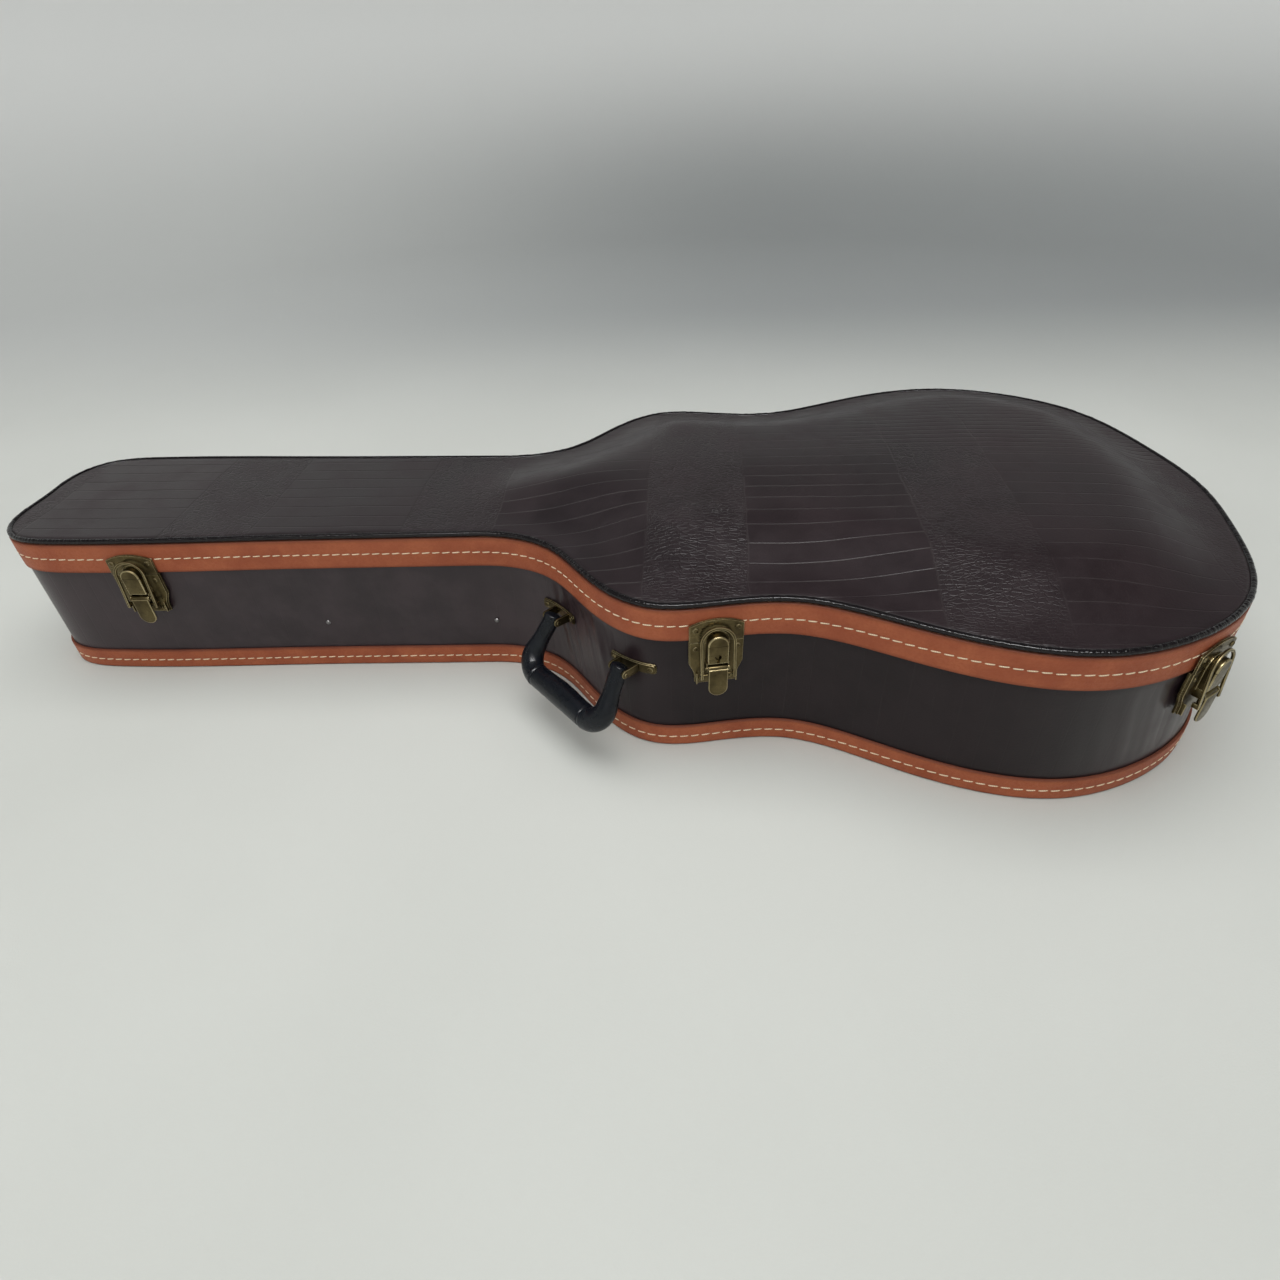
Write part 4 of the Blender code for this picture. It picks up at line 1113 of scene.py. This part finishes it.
def build_latches():
    """All five pieces of each latch."""
    for name in ("head", "waist", "tail"):
        site = frame_on(f"latch_{name}_lever_pivot", -LEVER_OUT, LEVER_DOWN)
        build_keeper(name, site)
        build_lock_plate(name, site)
        build_lever(name)
        build_bail(name)
        pin = Metalwork()
        pin.rod(0.00125, (-0.0097, 0.0097), 0.0003, 20)
        pin.finished(f"latch_{name}_pin_brass", "base", f"latch_{name}_pin",
                     matrix=frame_on(f"latch_{name}_lever_pivot"))


def refined(node, body, bevel=0.00035):
    """A CAD node's own shape with softened edges, welded and cleaned of its facet lines."""
    bm = bmesh.new()
    bm.from_mesh(frame["nodes"][node].data)
    bmesh.ops.remove_doubles(bm, verts=bm.verts, dist=1e-6)
    bmesh.ops.dissolve_limit(bm, angle_limit=math.radians(1), verts=bm.verts, edges=bm.edges)
    for face in bm.faces:
        face.material_index = 0
    sharp = [edge for edge in bm.edges if edge.calc_face_angle(0.0) > math.radians(40)]
    made = bmesh.ops.bevel(bm, geom=sharp, offset=bevel, segments=2, affect="EDGES",
                           clamp_overlap=True)
    # Bevels take the worn brass: wear and a painted highlight.
    for face in made["faces"]:
        face.material_index = 1
    bmesh.ops.triangulate(bm, faces=[face for face in bm.faces if len(face.verts) > 4])
    mesh = from_bmesh(bm, node)
    smooth(mesh, 35)
    return piece(node + "_brass", mesh, (BRASS, WORN_HIGHLIT_BRASS), body, node, slot="brass")


def build_hinges():
    """The strap hinges on the far side, in the CAD's own shapes."""
    for name in HINGES:
        refined(f"hinge_{name}_base_leaf", "base")
        refined(f"hinge_{name}_lid_leaf", "lid")
        refined(f"hinge_{name}_pin", "base", 0.0003)


# ---------------------------------------------------------------- handle
ARM_R = 0.0072
GRIP_R = 0.0098
HANDLE_LEAN = math.radians(34)
HANDLE_DROP, HANDLE_CORNER, HANDLE_SPLAY = 0.0506, 0.016, 0.0050


def handle_places():
    """The handle's frame on its axis, and where its two arms are along it."""
    site = frame_on("handle_hinge")
    inverse = site.inverted()
    arms = []
    for name in ("left", "right"):
        low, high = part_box(f"handle_pin_{name}")
        arms.append((inverse @ ((low + high) / 2)).x)
    return site, arms


def handle_line(half):
    """Points (x, z) down one arm, round its elbow, along the grip and up the other arm."""
    drop, corner, elbow = HANDLE_DROP, HANDLE_CORNER, half + HANDLE_SPLAY
    slant = math.degrees(math.atan2(HANDLE_SPLAY, drop - corner))
    left = [(-half, 0.0052), (-half, 0.0)]
    left += [(-half - t * HANDLE_SPLAY, -t * 0.0345) for t in (0.2, 0.4, 0.6, 0.8)]
    left += arc((-elbow + corner, -drop + corner), corner, 180 - slant, 270, 10)
    left += [(x, -drop) for x in np.linspace(-elbow + corner + 0.004, 0, 8)]
    line = np.array(left + [(-x, z) for x, z in left[-2::-1]])
    steps = np.r_[0, np.cumsum(np.linalg.norm(np.diff(line, axis=0), axis=1))]
    places = np.linspace(0, steps[-1], 301)
    dense = np.column_stack([np.interp(places, steps, line[:, k]) for k in (0, 1)])
    for _ in range(6):
        dense[1:-1] = (dense[:-2] + 2 * dense[1:-1] + dense[2:]) / 4
    return dense, places


def build_grip():
    """The moulded grip: a fuller middle for the fingers, a seam at each elbow, round ends."""
    site, arms = handle_places()
    half = (arms[1] - arms[0]) / 2
    line, places = handle_line(half)
    tangent = np.gradient(line, axis=0)
    tangent /= np.linalg.norm(tangent, axis=1)[:, None]
    inward = np.column_stack([-tangent[:, 1], tangent[:, 0]])
    share = ease((-line[:, 1] / HANDLE_DROP - 0.30) / 0.55)
    radius = ARM_R + (GRIP_R - ARM_R) * share
    middle = np.exp(-(line[:, 0] / 0.020) ** 2) * (line[:, 1] < -0.04)
    end = np.minimum(places, places[-1] - places)
    cap = np.sqrt(np.clip(1 - (1 - np.clip(end / 0.0028, 0.02, 1)) ** 2, 0, 1))
    seam_x = half + HANDLE_SPLAY - HANDLE_CORNER - 0.0015
    seam = np.zeros(len(line))
    for side in (-1, 1):
        centre = places[np.argmin(np.hypot(line[:, 0] - side * seam_x, line[:, 1] + HANDLE_DROP))]
        seam += np.exp(-((places - centre) / 0.0007) ** 2)
        seam -= 0.45 * np.exp(-((places - centre - side * 0.0022) / 0.0014) ** 2)
    sides = 36
    points = np.zeros((len(line), sides, 3))
    for j, (inner, across) in enumerate(circle(sides)):
        ridge = 0.00022 * math.exp(-((abs(abs(across) - 1)) / 0.010))
        size = radius * cap - 0.00065 * seam * cap + ridge * cap
        flat = 1.0 + 0.05 * inner * inner
        reach = inner * size * flat + np.where(inner > 0, inner, 0) * 0.0016 * middle
        points[:, j, 0] = line[:, 0] + inward[:, 0] * reach
        points[:, j, 2] = line[:, 1] + inward[:, 1] * reach
        points[:, j, 1] = across * size
    mesh = lattice(points, ring=False, caps=True)
    smooth(mesh, 60)
    middle_of = Matrix.Translation(((arms[0] + arms[1]) / 2, 0, 0))
    tilt = site @ middle_of @ Matrix.Rotation(-HANDLE_LEAN, 4, "X")
    piece("handle_moulded_grip", mesh, PLASTIC, "handle", "handle_grip", slot="handle_plastic",
          matrix=tilt)


def strap(metal, middle, half_length, half_height, inner, outer, height):
    """A strip of plate bent to the near wall, with rounded ends."""
    places = np.linspace(-half_length, half_length, 41)
    base, outward = on_outline(middle + places)
    corner, soft = 0.0022, 0.0003
    ends = np.clip((half_length - np.abs(places)) / corner, 0, 1)
    tall = half_height - corner * (1 - np.sqrt(np.clip(1 - (1 - ends) ** 2, 0, 1)))
    verts = []
    for i, h in enumerate(tall):
        section = [(inner, -h), (outer - soft, -h), (outer, -h + soft), (outer, h - soft),
                   (outer - soft, h), (inner, h)]
        verts.append([metal.bm.verts.new((*(base[i] + outward[i] * o), height + z))
                      for o, z in section])
    for a, b in zip(verts, verts[1:]):
        for j in range(6):
            k = (j + 1) % 6
            face = metal.bm.faces.new((a[j], a[k], b[k], b[j]))
            # The rounded corners take the worn brass: wear and a painted highlight.
            face.material_index = int(j in (1, 3))
    metal.bm.faces.new(verts[0])
    metal.bm.faces.new(verts[-1][::-1])


EAR_THICK = 0.0018
BRACKET_SCREW_AT = 0.0166


def wall_screw(metal, place, height):
    """A screw head on the bracket's strap at a place along the outline."""
    (x, y), (nx, ny) = [v[0] for v in on_outline([place])]
    turn = Matrix((Vector((-ny, nx, 0)), Vector((-nx, -ny, 0)), (0, 0, 1))).transposed().to_4x4()
    screw = Metalwork()
    screw.head(0.0025, 0.0013, (0, -0.0020, 0))
    bmesh.ops.transform(screw.bm, matrix=Matrix.Translation((x, y, height)) @ turn,
                        verts=screw.bm.verts)
    spare = from_bmesh(screw.bm, "screw")
    metal.bm.from_mesh(spare)
    bpy.data.meshes.remove(spare)


def build_brackets():
    """The handle's brackets, each a strap with two screws and two ears, and their pins."""
    site, arms = handle_places()
    height = site.translation.z
    shape = [(0.0122, -0.0042), (0.0122, 0.0042)] + arc((0.0, 0.0), 0.0038, 90, 270, 16)
    for arm, name in zip(arms, ("left", "right")):
        low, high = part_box(f"handle_bracket_{name}")
        middle = near_place((low.x + high.x) / 2)
        metal = Metalwork()
        strap(metal, middle, 0.0215, 0.0048, 0.0001, 0.0010, height)
        strap(metal, middle, 0.0208, 0.0042, 0.0012, 0.0021, height)
        for side in SIDES:
            wall_screw(metal, middle + side * BRACKET_SCREW_AT, height)
        for side in SIDES:
            start = arm + side * (ARM_R + 2 * GAP)
            ear = sorted((start, start + side * EAR_THICK))
            metal.solid(shape, *ear, "YZ", 0.0004, matrix=site)
        metal.finished(f"handle_bracket_{name}_brass", "base", f"handle_bracket_{name}")
        pin = Metalwork()
        reach = ARM_R + 2 * GAP + EAR_THICK + 0.0009
        pin.rod(0.0019, (arm - reach, arm + reach), 0.0005, 24)
        pin.finished(f"handle_pin_{name}_brass", "base", f"handle_pin_{name}", matrix=site)


build_latches()
build_hinges()
build_grip()
build_brackets()
for nail in ("nail_head", "nail_body"):
    frame["nodes"][nail].data.materials.clear()
    frame["nodes"][nail].data.materials.append(STEEL)


# ---------------------------------------------------------------- padded lining
SWELL_FRAMES = 20


def voxel_skin(name, mesh, voxel, thickness=0.0):
    """An even closed skin round a rough closed shape, or round a sheet of some thickness."""
    rough = linked(name, mesh)
    if thickness:
        solid = rough.modifiers.new("solidify", "SOLIDIFY")
        solid.thickness, solid.offset = thickness, -1.0
    remesh = rough.modifiers.new("voxels", "REMESH")
    remesh.mode, remesh.voxel_size = "VOXEL", voxel
    skin = evaluated_mesh(rough)
    bpy.data.objects.remove(rough)
    skin.materials.clear()
    return skin


def swell(pads):
    """Blow the pads up a little as cloth bags, all at once. Each is (object, pressure, cap)."""
    scene = bpy.context.scene
    start = [coordinates(pad.data) for pad, _, _ in pads]
    for pad, pressure, _ in pads:
        cloth = pad.modifiers.new("cloth", "CLOTH")
        settings = cloth.settings
        settings.quality, settings.mass, settings.bending_stiffness = 3, 0.3, 0.4
        settings.use_pressure, settings.uniform_pressure_force = True, pressure
        settings.effector_weights.gravity = 0.0
        cloth.collision_settings.use_collision = False
        cloth.point_cache.frame_end = SWELL_FRAMES
    for step in range(1, SWELL_FRAMES + 1):
        scene.frame_set(step)
    graph = bpy.context.evaluated_depsgraph_get()
    ends = [coordinates(pad.evaluated_get(graph).data) for pad, _, _ in pads]
    for (pad, _, cap), before, after in zip(pads, start, ends):
        pad.modifiers.remove(pad.modifiers["cloth"])
        moved = after - before
        length = np.linalg.norm(moved, axis=1)[:, None]
        moved *= np.minimum(1, cap / np.maximum(length, 1e-9))
        pad.data.vertices.foreach_set("co", (before + moved).ravel())
        pad.data.update()
    scene.frame_set(1)


def plan_slab(offset, low, high):
    """A closed slab over the plan, low to high."""
    rim = loop(offset, LOOP_STEPS // 2)
    return prism([(x, y, low) for x, y in rim], [(x, y, high) for x, y in rim], "slab")


def notched_block():
    """The neck rest: a block with a round notch in its top, a little under its full size."""
    low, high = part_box("neck_cradle")
    inset = 0.0022
    half, top = high.y - inset, high.z - inset
    notch = arc((0, high.z), 0.030 + inset, 184, 356, 16)
    outline = [(-half, low.z + inset), (half, low.z + inset), (half, top)]
    outline += notch[::-1] + [(-half, top)]
    ends = [[(x, y, z) for y, z in outline] for x in (low.x + inset, high.x - inset)]
    return prism(*ends, "notched")


def pad_piece(name, mesh, body, node):
    """A plush-covered pad."""
    mesh.shade_smooth()
    made = piece(name, mesh, PLUSH, body, node, slot="plush")
    return made


def build_pads():
    """The floor's, the lid's and the neck rest's padding, blown up a little and made uneven."""
    slab = plan_slab(LINING_FRONT + 0.0012, 0.0072, FLOOR_LINING_TOP - 0.0010)
    points, faces = sheet_over_plan([loop(LINING_FRONT + 0.0014, LOOP_STEPS // 2)], 0.010, 0.018)
    heights = on_grid(LID_HEIGHTS, points[:, 0], points[:, 1]) - LID_LINING_DROP - 0.0010
    floor = voxel_skin("floor_pad", slab, 0.0065)
    dome = voxel_skin("dome_pad", sheet_mesh(points, faces, heights), 0.0055, 0.0062)
    cradle = voxel_skin("cradle_pad", notched_block(), 0.0040)
    pads = [
        (pad_piece("lining_floor_plush", floor, "base", "base_lining_floor"), 2.0, 0.0012),
        (pad_piece("lining_lid_plush", dome, "lid", "lid_lining_top"), 2.0, 0.0016),
        (pad_piece("neck_cradle_plush", cradle, "base", "neck_cradle"), 4.0, 0.0022),
    ]
    swell(pads)
    for pad, _, _ in pads:
        where = coordinates(pad.data)
        bumps = [noise.noise(Vector(p) * 38) for p in where]
        normals = np.zeros(where.size)
        pad.data.vertices.foreach_get("normal", normals)
        where += normals.reshape(-1, 3) * (0.0004 * np.array(bumps) - 0.0002)[:, None]
        pad.data.vertices.foreach_set("co", where.ravel())
        pad.data.update()
    smoother = pads[-1][0].modifiers.new("smoother", "SUBSURF")
    smoother.levels = smoother.render_levels = 1


def build_side_pads():
    """The padding on the walls: a soft strip with rolled edges, which puckers a little."""
    half, middle = (LINING_BACK - LINING_FRONT) / 2, (LINING_BACK + LINING_FRONT) / 2
    turns = np.linspace(0, math.pi, 9)
    for name, body, low, high, node in (
            ("lining_base_wall_plush", "base", PANEL_THICK + GAP, BASE_LINING_TOP,
             "base_lining_side"),
            ("lining_lid_wall_plush", "lid", LID_LINING_LOW, LID_LINING_HIGH, "lid_lining_side")):
        crest = [(middle + half * math.cos(a), high - half + half * math.sin(a)) for a in turns]
        foot = [(middle + half * math.cos(a), low + half + half * math.sin(a))
                for a in turns + math.pi]
        face = [(LINING_FRONT, z) for z in np.linspace(high - half, low + half, 12)[1:-1]]

        def shift(place, offset, height, top=high, bottom=low):
            inside = ease((middle - offset) / half)
            fade = np.clip(np.minimum(height - bottom, top - height) / 0.006, 0.25, 1)
            puff = 0.5 + 0.5 * waves(place + 0.3 * height, 0.045, 3.3)
            pucker = 0.5 + 0.5 * waves(place, 0.012, 7.1)
            return inside * fade * (0.0009 * puff + 0.0005 * pucker)

        mesh = swept(crest + face + foot, FINE_PLACES[::2], shift)
        pad_piece(name, mesh, body, node)


def wrapped_board(node, body, radius=0.0019):
    """A board wrapped in plush, with round soft edges and faces cut up to be slightly uneven."""
    low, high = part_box(node)
    bm = bmesh.new()
    bmesh.ops.create_cube(bm, size=1.0)
    size, middle = high - low, (low + high) / 2
    bmesh.ops.scale(bm, vec=size, verts=bm.verts)
    bmesh.ops.translate(bm, vec=middle, verts=bm.verts)
    bmesh.ops.bevel(bm, geom=bm.edges[:], offset=radius, segments=4, affect="EDGES", profile=0.5)
    for axis in range(3):
        count = int(size[axis] / 0.007)
        for i in range(1, count):
            spot = low.copy()
            spot[axis] = low[axis] + radius + (size[axis] - 2 * radius) * i / count
            facing = Vector([float(k == axis) for k in range(3)])
            bmesh.ops.bisect_plane(bm, geom=bm.verts[:] + bm.edges[:] + bm.faces[:],
                                   plane_co=spot, plane_no=facing)
    bm.normal_update()
    for vert in bm.verts:
        vert.co -= vert.normal * (0.00025 + 0.00025 * noise.noise(vert.co * 45))
    mesh = from_bmesh(bm, node)
    mesh.shade_smooth()
    return piece(node + "_plush", mesh, PLUSH, body, node, slot="plush")


def build_pull_tab():
    """A leather tab with a round free end and a stitched fixed end."""
    low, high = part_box("compartment_pull_tab")
    middle, half = (low + high) / 2, (high.x - low.x) / 2
    bm = bmesh.new()
    outline = [(middle.x + half, high.y - 0.0005), (middle.x - half, high.y - 0.0005)]
    outline += arc((middle.x, low.y + half), half, 180, 360, 18)
    face = bm.faces.new([bm.verts.new((x, y, high.z)) for x, y in outline])
    wall = bmesh.ops.extrude_face_region(bm, geom=[face])
    down = [v for v in wall["geom"] if isinstance(v, bmesh.types.BMVert)]
    bmesh.ops.translate(bm, vec=(0, 0, low.z - high.z), verts=down)
    bmesh.ops.recalc_face_normals(bm, faces=bm.faces)
    rim = [edge for edge in bm.edges if edge.calc_face_angle(0.0) > 1.0]
    bmesh.ops.bevel(bm, geom=rim, offset=0.00035, segments=3, affect="EDGES", profile=0.5)
    mesh = from_bmesh(bm, "pull_tab")
    set_values(mesh, "grain", coordinates(mesh))
    smooth(mesh, 40)
    piece("compartment_pull_leather", mesh, LEATHER, "compartment_lid", "compartment_pull_tab",
          slot="tan_leather")

    rings, sides, pitch, reach = 7, 8, 0.0060, 0.0020
    points, faces = [], []
    for i in range(3):
        x, y = middle.x - pitch + pitch * i, high.y - 0.0040
        faces += tube_faces(len(points), rings, sides)
        for t in np.linspace(-1, 1, rings):
            thick = math.sqrt(max(1 - 0.9 * t ** 4, 0))
            points += [(x + t * reach, y + 0.0005 * thick * s,
                        high.z + 0.0003 * thick * c - 0.0002 * t * t) for c, s in circle(sides)]
    mesh = closed_mesh(points, faces)
    set_values(mesh, "grain", points)
    mesh.shade_smooth()
    piece("compartment_pull_stitches", mesh, THREAD, "compartment_lid", slot="tan_leather")


def build_interior():
    """The padding, and the accessory compartment with its lid."""
    build_pads()
    build_side_pads()
    for node in ("end_head", "end_body", "rail_near", "rail_far"):
        wrapped_board("compartment_" + node, "base")
    wrapped_board("compartment_lid", "compartment_lid", 0.0024)
    refined("compartment_hinge_leaf", "base", 0.0002)
    refined("compartment_hinge_pin", "base", 0.00015)
    refined("compartment_hinge_flap", "compartment_lid", 0.0002)
    build_pull_tab()


build_interior()


# ---------------------------------------------------------------- stage, lights and camera
BOWL_FLAT, BOWL_BEND, BOWL_TOP = 1.9, 0.9, 3.0


def build_stage():
    """A round floor that bends up into a backdrop all round."""
    turns = np.linspace(0, math.pi / 2, 12)
    bend = [(BOWL_FLAT + math.sin(a) * BOWL_BEND, BOWL_BEND - math.cos(a) * BOWL_BEND)
            for a in turns]
    rim = BOWL_FLAT + BOWL_BEND
    profile = [(0.01, 0.0), (0.8, 0.0), (1.6, 0.0)] + bend + [(rim, 1.9), (rim, BOWL_TOP)]
    rings = np.array([[(r * c, r * s, z) for r, z in profile] for c, s in circle(96)])
    mesh = lattice(rings, section=False)
    mesh.shade_smooth()
    floor = linked("floor", mesh)
    mesh.materials.append(studio_floor())


def area_light(name, place, target, size, power, colour=(1, 1, 1), glossy=False):
    """A soft panel that lights surfaces, or one that only shows as a gloss on them."""
    light = bpy.data.lights.new(name, "AREA")
    light.shape = "RECTANGLE"
    light.size, light.size_y = size
    light.energy, light.color = power, colour
    made = linked(name, light)
    made.location = place
    made.rotation_euler = (Vector(target) - Vector(place)).to_track_quat("-Z", "Y").to_euler()
    made.visible_glossy, made.visible_diffuse = glossy, not glossy


def build_lights():
    """A grey studio, lighter at the horizon and to the left, and three soft panels."""
    world = bpy.data.worlds.new("studio")
    bpy.context.scene.world = world
    world.use_nodes = True
    tree = world.node_tree
    sky = tree.nodes["Background"]
    place = tree.nodes.new("ShaderNodeTexCoord")
    split = tree.nodes.new("ShaderNodeSeparateXYZ")
    ramp = tree.nodes.new("ShaderNodeValToRGB")
    across = tree.nodes.new("ShaderNodeMapRange")
    for source, target in ((place.outputs["Generated"], split.inputs[0]),
                           (split.outputs["Z"], ramp.inputs[0]),
                           (ramp.outputs[0], sky.inputs[0]),
                           (split.outputs["X"], across.inputs["Value"]),
                           (across.outputs["Result"], sky.inputs[1])):
        tree.links.new(source, target)
    stops = ramp.color_ramp.elements
    stops[0].position, stops[0].color = 0.0, (0.56, 0.575, 0.57, 1)
    stops[1].position, stops[1].color = 1.0, (0.30, 0.305, 0.305, 1)
    stops.new(0.42).color = (0.22, 0.225, 0.225, 1)
    for end, value in (("From Min", -1.0), ("From Max", 1.0), ("To Min", 1.20), ("To Max", 0.38)):
        across.inputs[end].default_value = value
    area_light("ceiling_panel", (0.0, 0.05, 2.6), (0.0, 0.0, 0.0), (3.2, 2.4), 58,
               (1.0, 0.995, 0.975))
    area_light("front_fill", (-0.6, -2.2, 2.0), (0.0, 0.0, 0.0), (2.8, 1.6), 28.5,
               (1.0, 1.0, 0.985))
    area_light("front_softbox", (0.2, -1.5, 2.1), (0.1, 0.0, 0.1), (1.8, 0.30), 52, glossy=True)


CAMERA_PLACE = (0.0917, -0.6642, 0.4801)
CAMERA_YAW, CAMERA_PITCH, CAMERA_ROLL = -0.08296, 0.65662, -0.04975


def build_camera():
    """The photograph's camera, as solved from the case's outline."""
    data = bpy.data.cameras.new("camera")
    data.sensor_width = 36.0
    data.lens = 22.05
    data.clip_start, data.clip_end = 0.01, 60
    made = linked("camera", data)
    ahead, aside = math.cos(CAMERA_YAW), math.sin(CAMERA_YAW)
    level, down = math.cos(CAMERA_PITCH), math.sin(CAMERA_PITCH)
    forward = Vector((aside * level, ahead * level, -down))
    across = Vector((ahead, -aside, 0))
    upright = across.cross(forward)
    right = across * math.cos(CAMERA_ROLL) + upright * math.sin(CAMERA_ROLL)
    up = upright * math.cos(CAMERA_ROLL) - across * math.sin(CAMERA_ROLL)
    turn = Matrix((right, up, -forward)).transposed().to_4x4()
    made.matrix_world = Matrix.Translation(CAMERA_PLACE) @ turn
    bpy.context.scene.camera = made


build_stage()
build_lights()
build_camera()
bpy.context.scene.view_settings.view_transform = "Standard"
